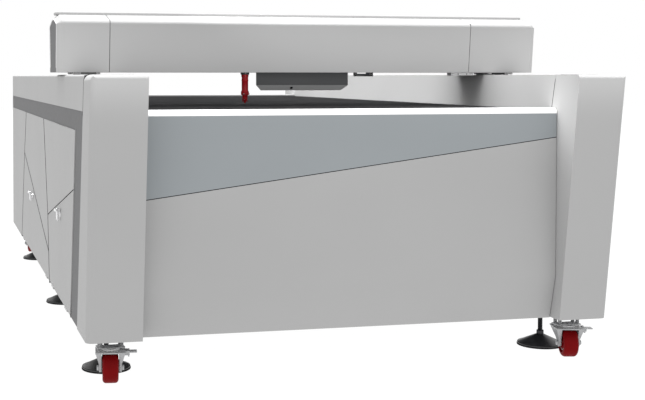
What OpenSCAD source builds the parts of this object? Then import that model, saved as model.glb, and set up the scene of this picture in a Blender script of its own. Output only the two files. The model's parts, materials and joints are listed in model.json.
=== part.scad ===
/* [Body] */
// Width over the outer faces of the side walls
body_w = 1860; // [1700:10:2200]
// Length over the top edges of the end towers
body_d = 3420; // [3200:10:4000]
// Height of the side wall tops above the floor
wall_top = 1016; // [990:1:1060]
// Gap between the floor and the skirts
floor_gap = 150; // [146:1:160]
// Width of a side wall and of the tower in front of it
wall_w = 185; // [180:1:200]
// Sheet thickness of the covers
skin = 3; // [2:0.5:4]

/* [Towers] */
// How far the foot of a tower stands behind its top edge
tower_lean = 120; // [80:1:140]
// Depth of the tower cover at its top
cap_top = 158; // [140:1:180]
// Distance from the tower top edge to the foot of the seam behind the cover
cap_foot = 360; // [330:1:380]
// Radius of the outer edges of a tower cover
tower_round = 24; // [12:1:30]
// Radius of the front top edge of a tower cover
brow_round = 14; // [8:1:20]

/* [Side panels] */
// Height of the top edge of the dark band
band_top = 896; // [880:1:910]
// Height of the dark band on its long run
band_h = 70; // [50:1:80]
// Width of the slanted leg of the dark band
band_leg = 196; // [150:1:220]
// Gap round the doors and at the seams between covers
seam_gap = 2; // [1:0.5:3]
// Overlap of the ledge that a door closes on
ledge = 16; // [10:1:25]
// Width of the grooves between the fixed sheets
groove_w = 2.5; // [1:0.5:4]

// Distance from the tower top edge to the front split line, at its top
split_front_top = 1517; // [1400:1:1600]
// Distance to the bend of that split line
split_front_bend = 1350; // [1250:1:1450]
// Height of the bend of that split line
split_front_z = 430; // [380:1:520]
// Distance to the foot of that split line
split_front_foot = 1290; // [1200:1:1380]
// Distance from the tower top edge to the rear split line, at its top
split_rear_top = 2445; // [2300:1:2500]
// Distance to the bend of the rear split line
split_rear_bend = 2560; // [2450:1:2600]
// Height of the bend of the rear split line
split_rear_z = 617; // [560:1:660]
// Distance to the foot of the rear split line
split_rear_foot = 2765; // [2650:1:2850]
// Height of the top edge of the front door at its front end
door_front_z = 618; // [560:1:680]
// Height of the top edge of the rear door at its front end
door_rear_z = 279; // [250:1:330]

/* [End panels] */
// Distance from the tower top edge to the face of the end panel
panel_back = 147; // [140:1:155]
// Distance from the tower top edge to the foot of the end panel
chin_back = 186; // [170:1:195]
// Height of the crease above the receding foot of the end panel
chin_top = 304; // [280:1:330]
// Height of the rounded lip on top of the end panel
lip_top = 899; // [897:0.5:902]
// Radius of the rounded lip
lip_round = 19; // [10:1:22]
// Height of the split line of the front panel at its left end
split_left = 604; // [500:1:700]
// Height of the split line of the front panel at its right end
split_right = 796; // [720:1:850]
// Outer radius of an exhaust duct
duct_r = 75; // [50:1:80]
// Distance of the ducts from the middle of the machine
duct_x = 300; // [250:5:340]
// Height of the ducts
duct_z = 700; // [690:1:740]
// Distance of the cable inlet from the middle of the machine
inlet_x = 560; // [450:5:620]
// Height of the cable inlet
inlet_z = 460; // [420:5:520]
// Radius of the cable inlet
inlet_r = 16; // [10:1:20]
// Length of an exhaust duct outside the rear panel
duct_out = 70; // [60:1:100]

/* [Bed] */
// Height of the top edges of the slats
bed_top = 894; // [890:0.5:896]
// Pitch of the slats
slat_pitch = 50; // [30:1:80]
// Thickness of a slat
slat_t = 3; // [2:0.5:5]
// Height of a slat
slat_h = 38; // [20:1:42]
// Height of the frame round the slats
bed_frame_h = 44; // [44:1:50]
// Width of the bars of the frame round the slats
bed_bar = 50; // [40:1:55]
// Depth of the dust tray below the bed
tray_depth = 210; // [150:1:260]

/* [Frame] */
// Width of the frame tubes
tube = 60; // [50:1:70]
// Wall of the frame tubes
tube_wall = 4; // [3:0.5:6]
// Distance from the outer face of a side wall to the middle of the side frame
frame_inset = 90; // [85:1:100]
// Width and height of the tube under a rail
rail_tube = 100; // [90:1:100]
// Height of the top of the tube under a rail
rail_seat = 920; // [915:1:922]

/* [Gantry] */
// Distance from the tower top edge to the front of the gantry at rest
gantry_front = 693; // [600:1:900]
// How far the gantry stands out beyond a side wall
gantry_overhang = 29; // [20:1:50]
// Depth of the gantry
gantry_d = 290; // [285:1:310]
// Gap between the wall tops and the gantry
gantry_gap = 9; // [8:1:16]
// Height of the front face of the gantry
gantry_face = 191; // [185:1:205]
// Rise from the front face to the flat top
gantry_rise = 25; // [20:1:36]
// Height of the lid on the flat top
lid_h = 9; // [5:1:12]
// Run of the sloping part of the top
gantry_slope = 108; // [80:1:120]
// How far the front face recedes at its foot
gantry_tuck = 20; // [10:1:22]
// Radius of the edge between the front face and the top
gantry_round = 14; // [8:1:16]
// Length of the left end cover
end_left = 196; // [160:1:240]
// Length of the right end cover
end_right = 283; // [200:1:320]
// Chamfer round the end faces of the gantry
end_chamfer = 20; // [6:1:26]
// Height of the beam inside the covers
core_h = 120; // [100:1:130]
// Depth of the beam inside the covers
core_d = 90; // [80:1:92]
// Wall of the beam inside the covers
core_wall = 5; // [3:0.5:8]
// Travel of the gantry to either side of the middle of the bed
gantry_half_travel = 1250; // [1000:10:1280]

/* [Head] */
// Distance of the cutting head from the middle of the machine at rest
head_x = -237; // [-500:1:500]
// Distance from the front of the gantry to the axis of the head
head_back = 44; // [43:0.5:45]
// Radius of the lens barrel
barrel_r = 14; // [10:0.5:14]
// Gap between the nozzle and the slats
nozzle_gap = 14; // [12:0.5:20]
// Radius of the laser beam path through the head
path_r = 6; // [3:0.5:8]
// Radius of the laser tube
laser_r = 39; // [30:1:40]
// Gap between the laser tube and the mirror mount
laser_gap = 77; // [60:1:200]

/* [Belly housing] */
// Length of the housing under the middle of the gantry
belly_w = 374; // [200:1:600]
// Depth of that housing along the machine
belly_d = 180; // [120:1:200]
// Drop of that housing below the gantry
belly_drop = 69; // [40:1:80]
// Height of the lighter strip along its foot
belly_strip = 20; // [10:1:25]
// Width of the chamfer of its lower corners
belly_chamfer = 24; // [10:1:40]
// How much it narrows towards the rear, on each side
belly_taper = 55; // [45:1:70]

/* [Doors] */
// Turning radius of the hinge pins
hinge_pin_r = 2; // [1.5:0.25:3]
// Length of one hinge
hinge_len = 70; // [50:1:120]
// Radius of a latch rosette
latch_r = 13; // [8:0.5:16]
// Length of a latch lever
latch_len = 46; // [30:1:60]
// Distance from the top edge of a door down to its latch
latch_drop = 48; // [40:1:60]
// Distance from the tower top edge to the latch of the front door
front_latch_back = 861; // [700:1:1000]
// Distance from the tower top edge to the latch of the rear door
rear_latch_back = 2073; // [1900:1:2250]

/* [Running gear] */
// Radius of a caster wheel
wheel_r = 50; // [45:1:51]
// Width of a caster wheel
wheel_w = 53; // [40:1:55]
// Trail of a caster
trail = 28; // [20:1:35]
// Distance from the outer face of a side wall to the casters
caster_inset = 95; // [90:1:100]
// Distance from the tower top edge to the swivel axis of a caster
caster_back = 230; // [225:1:240]
// Heading of the left front caster
heading_left = -8; // [-90:1:90]
// Heading of the right front caster
heading_right = -14; // [-90:1:90]
// Radius of a levelling foot
foot_r = 83; // [60:1:85]
// Height of the cone of a levelling foot
foot_h = 42; // [30:1:60]
// Distance from the outer face of a side wall to the levelling feet
foot_inset = 106; // [100:1:112]
// Distance from the tower top edge to the front pair of levelling feet
foot_front = 398; // [396:1:450]
// How far the middle pair stands in front of the middle of the machine
foot_mid = 60; // [-100:1:200]
// Distance from the rear of the machine to the rear pair
foot_rear = 460; // [400:1:500]
// Radius of the threaded stems of the feet
stem_r = 8; // [6:0.5:12]
// Radius of the caster studs
stud_r = 6; // [4:0.5:8]

/* [Emergency stop] */
// Distance from the tower top edge to the stop button
button_back = 430; // [380:5:520]
// Radius of the stem of the stop button
button_stem_r = 11; // [8:0.5:12]
// Radius of the cap of the stop button
button_cap_r = 19; // [15:0.5:22]

/* [Electrics] */
// Length of the laser power supply across the machine
supply_w = 300; // [200:5:340]
// Depth of the laser power supply
supply_d = 340; // [200:5:400]
// Height of the laser power supply
supply_h = 170; // [100:5:200]
// Length of the control unit across the machine
control_w = 300; // [260:5:340]
// Depth of the control unit
control_d = 280; // [200:5:340]
// Height of the control unit
control_h = 130; // [80:5:180]

/* [Drives] */
// Pitch radius of the drive pulleys of the long axis
pulley_r = 20; // [16:0.5:24]
// Width of the belts of the long axis
belt_w = 16; // [10:1:20]
// Thickness of the belts
belt_t = 2; // [1:0.25:3]
// Pitch radius of the pulleys of the cross axis
x_pulley_r = 12; // [10:0.5:14]
// Gap between parts that move past each other
play = 0.3; // [0.3:0.05:0.5]
// Radial running clearance of shafts and pins
run = 0.05; // [0.02:0.01:0.1]

/* [Hidden] */
$fn = 64;

light_grey = [0.70, 0.70, 0.70];
blue_grey = [0.60, 0.63, 0.645];
dark_grey = [0.50, 0.50, 0.50];
bed_grey = [0.22, 0.22, 0.22];
steel = [0.55, 0.56, 0.58];
black = [0.06, 0.06, 0.06];
red = [0.50, 0.08, 0.09];

half_w = body_w / 2;
half_d = body_d / 2;
inner_x = half_w - wall_w;
frame_x = half_w - frame_inset;
caster_x = half_w - caster_inset;
foot_x = half_w - foot_inset;
skin_in = half_w - skin;
band_foot = band_top - band_h;
far = body_d;
eps = 0.01;

// Height-dependent distances from the tower top edge
seam_slope = (cap_foot - cap_top) / (wall_top - floor_gap);
function seam(z) = cap_top + (wall_top - z) * seam_slope;
function leg(z) = seam(z) + band_leg;
function lean(z) = (wall_top - z) * tower_lean / (wall_top - floor_gap);
lean_angle = atan2(tower_lean, wall_top - floor_gap);
// Rear face of the machine, as far from the middle as the rounded brow of the towers
rear_face = half_d - brow_round * (tan(lean_angle) + 1 / cos(lean_angle) - 1);
// Rear end of the sheets along the sides
rear_end = rear_face - skin - seam_gap;
// Distance from the tower top edge, as a place along the machine
function fy(d) = d - half_d;

// Points of an arc, angles in degrees
function arc(c, r, a0, a1, n = 8) =
    [for (i = [0:n]) c + r * [cos(a0 + (a1 - a0) * i / n), sin(a0 + (a1 - a0) * i / n)]];
function unit(v) = v / norm(v);
// Points that round the corner b between the points a and c
function rounded(a, b, c, r) =
    let (u = unit(a - b), v = unit(c - b), half = acos(u * v) / 2, mid = b + unit(u + v) * r / sin(half),
        p = b + u * r / tan(half) - mid, q = b + v * r / tan(half) - mid,
        from = atan2(p[1], p[0]), turn = (atan2(q[1], q[0]) - from + 540) % 360 - 180)
    arc(mid, r, from, from + turn);
// Moves the sides of a convex outline inwards; the outline runs anticlockwise
function inward(a, b) = let (u = unit(b - a)) [-u[1], u[0]];
function meet(p, u, q, v) = let (d = u[0] * v[1] - u[1] * v[0], w = q - p)
    p + u * ((w[0] * v[1] - w[1] * v[0]) / d);
function inset(pts, d) = let (n = len(pts))
    [for (i = [0:n - 1]) let (a = pts[(i + n - 1) % n], b = pts[i], c = pts[(i + 1) % n])
        meet(a + inward(a, b) * d, b - a, b + inward(b, c) * d, c - b)];

// Draws an outline of Y and Z values as a plate between two X values
module yz(x0, x1) translate([x0, 0, 0]) rotate([90, 0, 90]) linear_extrude(x1 - x0) children();
// Draws an outline of X and Z values as a plate between two Y values
module xz(y0, y1) translate([0, y1, 0]) rotate([90, 0, 0]) linear_extrude(y1 - y0) children();
module block(x, y, z) translate([x[0], y[0], z[0]]) cube([x[1] - x[0], y[1] - y[0], z[1] - z[0]]);
module rod_x(p, r, l) translate(p) rotate([0, 90, 0]) cylinder(r = r, h = l);
module rod_y(p, r, l) translate(p) rotate([-90, 0, 0]) cylinder(r = r, h = l);
module rod_z(p, r, l) translate(p) cylinder(r = r, h = l);
module on_left() mirror([1, 0, 0]) children();
module at_rear() mirror([0, 1, 0]) children();
module both_sides() { children(); mirror([1, 0, 0]) children(); }
module both_ends() { children(); mirror([0, 1, 0]) children(); }
// A rectangle with one rounded corner, at its highest X and Y
module round_corner(x0, y0, x1, y1, r) {
    translate([x0, y0]) square([x1 - x0 - r, y1 - y0]);
    translate([x0, y0]) square([x1 - x0, y1 - y0 - r]);
    translate([x1 - r, y1 - r]) circle(r);
}

// ---------------------------------------------------------------- frame

frame_foot = floor_gap + 10;
frame_deck = frame_foot + tube;
pad_t = 8;
caster_pad = [46, 30];
foot_pad = [36, 35];
feet_at = [fy(foot_front), -foot_mid, half_d - foot_rear];
cross_at = [212, 1180];
rail_out = half_d - 130;

module frame_tubes(shrink, reach) {
    w = tube - 2 * shrink;
    for (s = [-1, 1])
        translate([s * frame_x, 0, frame_foot + tube / 2])
            cube([w, 2 * rail_out + 2 * reach, w], center = true);
    for (s = [-1, 1], d = cross_at)
        translate([0, s * (half_d - d - tube / 2), frame_foot + tube / 2])
            cube([2 * (frame_x - tube / 2) + 2 * reach * (tube_wall + 1), w, w], center = true);
}

module base_frame() color(steel) {
    difference() {
        frame_tubes(0, 0);
        frame_tubes(tube_wall, 1);
    }
    both_sides() {
        for (s = [-1, 1]) pad(caster_x, s * fy(caster_back), caster_pad);
        for (y = feet_at) pad(foot_x, y, foot_pad);
    }
}
module pad(x, y, half) block([x - half[0], x + half[0]], [y - half[1], y + half[1]],
    [frame_foot - pad_t, frame_foot]);

// Distances from the tower top edge to the posts of a side frame
post_at = [240, 1150];
beam_in = frame_x - rail_tube / 2 - 2;
beam_out = frame_x + rail_tube / 2 - 2;
beam_mid = frame_x - 2;
beam_back = 60;
stay_back = 600;
beam_foot = rail_seat - rail_tube;
bracket_top = bed_top - bed_frame_h;
bed_half = inner_x - 8;
pulley_z = rail_seat + 45;
pulley_gap = 12;
pulley_x = beam_in - pulley_gap - belt_w / 2;
pulley_back = 120;
idler_plate = 12;
idler_pin_r = 5;
bed_bracket_at = [420, 1300];
bracket_lap = 26;

module side_frames() color(steel) both_sides() side_frame();
module side_frame() {
    difference() {
        union() {
            block([beam_in, beam_out], [fy(beam_back), -fy(beam_back)], [beam_foot, rail_seat]);
            for (s = [-1, 1], d = post_at)
                block([frame_x - tube / 2, frame_x + tube / 2],
                    [s * (half_d - d - tube / 2) - tube / 2, s * (half_d - d - tube / 2) + tube / 2],
                    [frame_deck, beam_foot + eps]);
        }
        block([beam_in + tube_wall, beam_out - tube_wall], [-far, far],
            [beam_foot + tube_wall, rail_seat - tube_wall]);
        for (s = [-1, 1], d = post_at)
            block([frame_x - tube / 2 + tube_wall, frame_x + tube / 2 - tube_wall],
                [s * (half_d - d - tube / 2) - tube / 2 + tube_wall,
                 s * (half_d - d - tube / 2) + tube / 2 - tube_wall],
                [frame_deck - 1, beam_foot + tube_wall + 1]);
    }
    // Brackets that the bed rests on
    both_ends() for (d = bed_bracket_at)
        block([bed_half - bracket_lap, beam_in], [fy(d), fy(d) + tube], [beam_foot + 2, bracket_top]);
    // Plate and pin of the idler
    block([beam_in, beam_in + idler_plate], [fy(pulley_back) - 18, fy(pulley_back) + 18],
        [rail_seat, pulley_z + 18]);
    rod_x([pulley_x - belt_w / 2 - 6, fy(pulley_back), pulley_z], idler_pin_r,
        beam_in - pulley_x + belt_w / 2 + 6 + 1);
}

// ---------------------------------------------------------------- running gear

plate_z = wheel_r * 2 + 11;
plate_t = 4;
crown_t = 4;
crown_z = plate_z - 6;
crown_rear = 30;
crown_front = 40;
stud_x = 35;
stud_y = 16;
fork_in = wheel_w / 2 + 3;
fork_t = 8;
fork_top = fork_in + fork_t + 12;
axle_r = 5;
axle_out = 3;
hub_r = 14;
swivel_r = 8;

module plate_and_studs() {
    block([-stud_x - stud_r - 5, stud_x + stud_r + 5], [-stud_y - stud_r - 2, stud_y + stud_r + 2],
        [plate_z, plate_z + plate_t]);
    for (x = [-1, 1], y = [-1, 1])
        rod_z([x * stud_x, y * stud_y, plate_z + plate_t - eps], stud_r,
            frame_foot - pad_t - plate_z - plate_t + eps);
}

// A fork whose wheel trails towards -Y; its axis stands on the origin.
// Its arms widen towards the crown, seen from the side and from the front.
module fork() {
    block([-fork_top, fork_top], [-trail - crown_rear, crown_front], [crown_z - crown_t, crown_z]);
    intersection() {
        yz(-fork_top, fork_top) {
            polygon([[-trail - hub_r + 2, wheel_r], [-trail + hub_r - 2, wheel_r], [crown_front, crown_z],
                [-trail - crown_rear, crown_z]]);
            translate([-trail, wheel_r]) circle(hub_r);
        }
        both_sides() xz(-trail - crown_rear, crown_front) polygon([[fork_in, 0], [fork_in + fork_t, 0],
            [fork_in + fork_t, wheel_r + hub_r], [fork_top, crown_z], [fork_in, crown_z]]);
    }
    rod_x([-fork_in - fork_t - axle_out, -trail, wheel_r], axle_r, 2 * (fork_in + fork_t + axle_out));
}

module front_plate() difference() {
    plate_and_studs();
    rod_z([0, 0, plate_z - 1], swivel_r + run, plate_t + 2);
}

module rear_fork() {
    plate_and_studs();
    block([-fork_in, fork_in], [-stud_y, stud_y], [crown_z - eps, plate_z + eps]);
    fork();
}

module caster_mounts() color(steel) both_sides() {
    translate([caster_x, fy(caster_back), 0]) front_plate();
    translate([caster_x, -fy(caster_back), 0]) mirror([0, 1, 0]) rear_fork();
}

pedal_pin_r = 3;
pedal_pin_x = fork_top + 8;
pedal_z = crown_z - 7;
pedal_out = 30;
pedal_t = 4;
pedal_w = 30;
ear_t = 5;
ear_gap = 0.5;
ear_half = pedal_w / 2 + ear_gap;

module front_fork() {
    fork();
    rod_z([0, 0, crown_z - eps], swivel_r, plate_z - crown_z + plate_t);
    rod_z([0, 0, crown_z - eps], 20, plate_z - crown_z - play);
    // Ears that carry the pedal pin
    translate([0, -trail / 2, 0]) {
        for (y = [-ear_half - ear_t, ear_half])
            block([fork_top - 6, pedal_pin_x + 6], [y, y + ear_t], [2 * pedal_z - crown_z, crown_z]);
        rod_y([pedal_pin_x, -ear_half - ear_t, pedal_z], pedal_pin_r, 2 * (ear_half + ear_t));
    }
}

module brake_pedal() translate([0, -trail / 2, 0]) difference() {
    union() {
        rod_y([pedal_pin_x, -pedal_w / 2, pedal_z], pedal_pin_r + 3, pedal_w);
        block([pedal_pin_x, pedal_pin_x + pedal_out], [-pedal_w / 2, pedal_w / 2],
            [pedal_z, pedal_z + pedal_t]);
        // Finger that reaches for the wheel
        block([pedal_pin_x + 1, pedal_pin_x + 5], [-pedal_w / 3, pedal_w / 3], [pedal_z - 14, pedal_z]);
    }
    rod_y([pedal_pin_x, -pedal_w, pedal_z], pedal_pin_r + run, 2 * pedal_w);
}

module at_caster(side) translate([side * caster_x, fy(caster_back), 0])
    rotate([0, 0, side < 0 ? heading_left : heading_right]) children();

// Wheel with rounded shoulders and a recess round its hub on each side
shoulder = 12;
hub_recess = 5;
module wheel() color(red) translate([0, 0, wheel_r]) rotate([0, 90, 0]) rotate_extrude() difference() {
    union() {
        translate([0, -wheel_w / 2]) square([wheel_r - shoulder, wheel_w]);
        translate([0, -wheel_w / 2 + shoulder]) square([wheel_r, wheel_w - 2 * shoulder]);
        for (s = [-1, 1]) translate([wheel_r - shoulder, s * (wheel_w / 2 - shoulder)]) circle(shoulder);
    }
    for (s = [-1, 1])
        translate([hub_r + 2, s > 0 ? wheel_w / 2 - hub_recess : -wheel_w / 2 - 1])
            square([wheel_r - shoulder - hub_r - 6, hub_recess + 1]);
    translate([-1, -wheel_w / 2 - 1]) square([1 + axle_r + run, wheel_w + 2]);
}

module wheel_front(side) at_caster(side) translate([0, -trail, 0]) wheel();
module wheel_rear(side) translate([side * caster_x, -fy(caster_back) + trail, 0]) wheel();

foot_rim = 10;
module levelling_foot() color(black) {
    rotate_extrude() polygon([[0, 0], [foot_r, 0], [foot_r, foot_rim], [stem_r + 5, foot_h], [0, foot_h]]);
    rod_z([0, 0, foot_h - 1], stem_r, frame_foot - pad_t - foot_h + 1);
}

module levelling_feet() both_sides() for (y = feet_at) translate([foot_x, y, 0]) levelling_foot();

// ---------------------------------------------------------------- side covers

// The front right tower, t inside its faces; the hollow is open at the foot and at the seam
cut_through = 20;
module tower_form(t) {
    through = t > 0 ? cut_through : 0;
    foot = floor_gap - through;
    brow = rounded([fy(lean(foot)) + t, foot], [fy(t), wall_top - t], [fy(seam(wall_top)), wall_top - t],
        brow_round - t);
    intersection() {
        xz(-half_d - 1, 0) round_corner(inner_x + t, foot, half_w - t, wall_top - t, tower_round - t);
        yz(inner_x, half_w) polygon(concat([[fy(seam(foot)) + through, foot],
            [fy(seam(wall_top)) + through, wall_top - t]], [for (i = [len(brow) - 1:-1:0]) brow[i]],
            [[fy(lean(foot)) + t, foot]]));
        // Rounded leaning edge
        translate([0, -half_d, wall_top]) rotate([lean_angle, 0, 0]) translate([0, 0, -1.2 * wall_top])
            linear_extrude(1.6 * wall_top) mirror([0, 1])
                round_corner(inner_x, -half_d / 2, half_w - t, -t, tower_round - t);
    }
}

tab = 30;
tab_t = 15;
tab_lift = 10;
tower_tab = 90;
module tower_cover() color(light_grey) {
    difference() {
        tower_form(0);
        tower_form(skin);
        // Notch for the end crossbar of the frame
        block([inner_x - 1, inner_x + skin + 1],
            [fy(cross_at[0]) - seam_gap, fy(cross_at[0]) + tube + seam_gap], [0, frame_deck + seam_gap]);
    }
    // Tabs on the tube under the rail
    for (x = [[inner_x + skin - eps, beam_in], [beam_out, skin_in + eps]])
        block(x, [fy(tower_tab), fy(tower_tab) + tab],
            [beam_foot + tab_lift, beam_foot + tab_lift + tab_t]);
    // Tab on the side tube of the frame
    block([frame_x + tube / 2, skin_in + eps], [fy(cross_at[0]), fy(cross_at[0]) + tab],
        [frame_foot + tab_lift, frame_foot + tab_lift + tab_t]);
}

// Flat cap over the rear end of a side wall, with a return sheet beside the rear panel
cover_round = 8;
return_start = cross_at[0] - seam_gap;
module rear_cap() color(light_grey) {
    xz(rear_face - skin, rear_face)
        round_corner(inner_x, floor_gap, half_w, wall_top, cover_round);
    block([inner_x, inner_x + skin], [-fy(return_start), rear_face - skin + eps],
        [floor_gap, inner_skirt - seam_gap]);
    // Tabs on the ends of the tube under the rail and of the side tube
    for (t = [[-fy(beam_back), beam_foot], [rail_out, frame_foot]])
        block([frame_x - tab / 2, frame_x + tab / 2], [t[0], rear_face - skin + eps],
            [t[1], t[1] + tab_t]);
}

slot_in = beam_mid - 46;
slot_out = beam_mid + 46;
foot_half = 65;
slot_half = gantry_half_travel + foot_half + 10;
inner_skirt = bracket_top + 12;
button_z = (band_top + wall_top) / 2;
cover_tab_at = [560, 1420];

module wall_cover(button) color(light_grey) {
    difference() {
        union() {
            intersection() {
                xz(-half_d, half_d) difference() {
                    round_corner(inner_x, inner_skirt, half_w, wall_top, cover_round);
                    translate([inner_x + skin, -1]) square([wall_w - 2 * skin, wall_top - skin + 1]);
                    translate([half_w - wall_w / 2, -1]) square([wall_w, band_top + 1]);
                }
                yz(inner_x - 1, half_w + 1) polygon([
                    [fy(seam(wall_top)) + seam_gap, wall_top + 1], [fy(seam(0)) + seam_gap, 0],
                    [rear_end, 0], [rear_end, wall_top + 1]]);
            }
            // Tabs on the tube under the rail
            both_ends() for (d = cover_tab_at) {
                block([inner_x + skin - eps, beam_in], [fy(d), fy(d) + tab],
                    [inner_skirt + tab_lift, inner_skirt + tab_lift + tab_t]);
                block([beam_out, skin_in + eps], [fy(d), fy(d) + tab], [rail_seat - 12, rail_seat - 2]);
            }
        }
        block([slot_in, slot_out], [-slot_half, slot_half], [wall_top - skin - 1, wall_top + 1]);
        if (button)
            rod_x([half_w - wall_w / 2, fy(button_back), button_z], button_stem_r + run, wall_w);
    }
}

// The stem reaches button_tail behind the sheet, and the cap stands button_lift in front of it
button_tail = 12;
button_lift = 8;
button_cap_t = 9;
module stop_button() color(red) translate([half_w - skin - button_tail, fy(button_back), button_z])
    rotate([0, 90, 0]) {
        cylinder(r = button_stem_r, h = button_tail + skin + button_lift + 1);
        translate([0, 0, button_tail + skin + button_lift]) rotate_extrude() difference() {
            union() {
                square([button_cap_r, button_cap_t]);
                square([button_cap_r - 5, button_cap_t + 5]);
            }
            translate([button_cap_r, button_cap_t]) circle(5);
        }
    }

// The dark band: a slanted leg behind the tower and a straight run to the rear end, tucked behind
// the sheets above and beside it
tuck = 10;
post_stay = 15;
band_stay_at = [stay_back, half_d, body_d - stay_back];
module side_bands() color(dark_grey) both_sides() {
    yz(skin_in - skin, skin_in) polygon([[fy(seam(band_top + tuck)) - tuck, band_top + tuck],
        [fy(seam(floor_gap)) - tuck, floor_gap], [fy(leg(floor_gap)), floor_gap],
        [fy(leg(band_foot)), band_foot], [rear_end, band_foot], [rear_end, band_top + tuck]]);
    // Stay to the front post
    block([frame_x + tube / 2, skin_in - skin + eps],
        [fy(post_at[0]) + post_stay, fy(post_at[0]) + post_stay + tab],
        [band_foot - 2 * tube, band_foot - 2 * tube + tab_t]);
    // Stays to the tube under the rail
    for (d = band_stay_at) block([beam_out, skin_in - skin + eps], [fy(d), fy(d) + tab],
        [band_foot + tab_lift, band_foot + tab_lift + tab_t]);
}

// The two doors of a side, anticlockwise in Y and Z, and the grooves between the fixed sheets
function on_line(a, b, z) = a[0] + (b[0] - a[0]) * (z - a[1]) / (b[1] - a[1]);
front_bend = [fy(split_front_bend), split_front_z];
front_foot = [fy(split_front_foot), floor_gap];
rear_bend = [fy(split_rear_bend), split_rear_z];
rear_foot = [fy(split_rear_foot), floor_gap];
rear_shelf = [on_line(front_bend, front_foot, door_rear_z), door_rear_z];
front_door_outline = [[fy(leg(floor_gap)), floor_gap], front_foot, front_bend,
    [fy(leg(door_front_z)), door_front_z]];
rear_door_outline = [front_foot, rear_foot, rear_bend, rear_shelf];

module side_outline() polygon([[fy(leg(floor_gap)), floor_gap], [rear_end, floor_gap],
    [rear_end, band_foot], [fy(leg(band_foot)), band_foot]]);

// A straight groove between two points
module groove(a, b) {
    n = inward(a, b) * groove_w / 2;
    polygon([a - n, b - n, b + n, a + n]);
}

ledge_out = skin_in - 0.5;
ledge_in = ledge_out - skin;
hinge_z = floor_gap + hinge_pin_r + 3;
hinge_x = half_w - skin / 2;
knuckle_r = hinge_pin_r + 2;
lug = 12;
// Middles of the two hinges of a door, from the ends of its foot
hinge_in = 130;
front_hinges = [fy(leg(floor_gap)) + hinge_in, front_foot[0] - hinge_in];
rear_hinges = [front_foot[0] + hinge_in, rear_foot[0] - hinge_in];

module side_panel() color(light_grey) {
    difference() {
        union() {
            yz(ledge_in, half_w) difference() {
                side_outline();
                polygon(front_door_outline);
                polygon(rear_door_outline);
            }
            yz(ledge_in, ledge_out) difference() {
                side_outline();
                polygon(inset(front_door_outline, ledge));
                polygon(inset(rear_door_outline, ledge));
            }
        }
        // Grooves between the fixed sheets
        yz(half_w - skin / 2, half_w + 1) {
            groove([fy(split_rear_top), band_foot + 1], rear_bend);
            groove([fy(split_front_top), band_foot + 1], front_bend);
            groove(rear_shelf, front_bend);
        }
        // Room for the hinges
        for (y = concat(front_hinges, rear_hinges))
            block([ledge_in - 1, half_w + 1], [y - hinge_len / 2 - 1, y + hinge_len / 2 + 1],
                [0, hinge_z + knuckle_r + 1]);
    }
    // Hinge lugs and pins
    for (y = concat(front_hinges, rear_hinges)) {
        for (e = [y - hinge_len / 2, y + hinge_len / 2 - lug]) {
            rod_y([hinge_x, e, hinge_z], knuckle_r, lug);
            block([ledge_in, hinge_x], [e, e + lug], [hinge_z - 2, hinge_z + knuckle_r]);
            block([ledge_in, ledge_out], [e, e + lug], [hinge_z, hinge_z + knuckle_r + 6]);
        }
        rod_y([hinge_x, y - hinge_len / 2, hinge_z], hinge_pin_r, hinge_len);
    }
    // Stays to the posts and to the tube under the rail
    for (y = [fy(post_at[1]), -fy(post_at[1]) - tube, -fy(post_at[0]) - tube])
        block([frame_x + tube / 2, ledge_in + eps], [y + post_stay, y + post_stay + tab],
            [band_foot - tube, band_foot - tube + tab_t]);
    both_ends()
        block([beam_out, ledge_in + eps], [fy(stay_back), fy(stay_back) + tab], [beam_foot, band_foot]);
}

module door(outline, hinges) color(light_grey) difference() {
    union() {
        difference() {
            yz(half_w - skin, half_w) difference() {
                polygon(inset(outline, seam_gap));
                translate([-far, 0]) square([2 * far, hinge_z + knuckle_r + 1]);
            }
            for (y = hinges)
                block([half_w - skin - 1, half_w + 1], [y - hinge_len / 2 - 1, y + hinge_len / 2 + 1],
                    [0, hinge_z + knuckle_r + 1]);
        }
        for (y = hinges) {
            rod_y([hinge_x, y - hinge_len / 2 + lug + play, hinge_z], knuckle_r,
                hinge_len - 2 * lug - 2 * play);
            block([hinge_x - skin / 2, hinge_x + skin / 2],
                [y - hinge_len / 2 + lug + play, y + hinge_len / 2 - lug - play],
                [hinge_z, hinge_z + knuckle_r + 2]);
        }
    }
    for (y = hinges) rod_y([hinge_x, y - hinge_len / 2, hinge_z], hinge_pin_r + run, hinge_len);
    rod_x([half_w - skin - 1, latch_y(outline), latch_z(outline)], latch_stem_r + run, skin + 2);
}

latch_stem_r = 6;
function latch_y(outline) = outline == front_door_outline ? fy(front_latch_back) : fy(rear_latch_back);
function latch_z(outline) = outline == front_door_outline
    ? edge_z(front_door_outline[3], front_door_outline[2], fy(front_latch_back)) - latch_drop
    : edge_z(rear_door_outline[3], rear_door_outline[2], fy(rear_latch_back)) - latch_drop;
function edge_z(a, b, y) = a[1] + (b[1] - a[1]) * (y - a[0]) / (b[0] - a[0]);

module latch(outline) color(steel) translate([0, latch_y(outline), latch_z(outline)]) {
    rod_x([half_w + play, 0, 0], latch_r, 3);
    rod_x([ledge_in - 8, 0, 0], latch_stem_r, half_w - ledge_in + 8 + 1);
    block([half_w + 3, half_w + 12], [-6, 6], [-latch_len / 2, latch_len / 2]);
    // Cam, clear of the ledge until it is turned up
    block([ledge_in - 8, ledge_in - 5], [-8, latch_drop + 6], [-8, 8]);
}

// ---------------------------------------------------------------- end panels

panel_half = inner_x - seam_gap;
lip_back = panel_back + lip_round;
bed_front = panel_back + lip_round + 30;
flange_back = cross_at[0];
chin_foot = floor_gap - 2;

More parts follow.
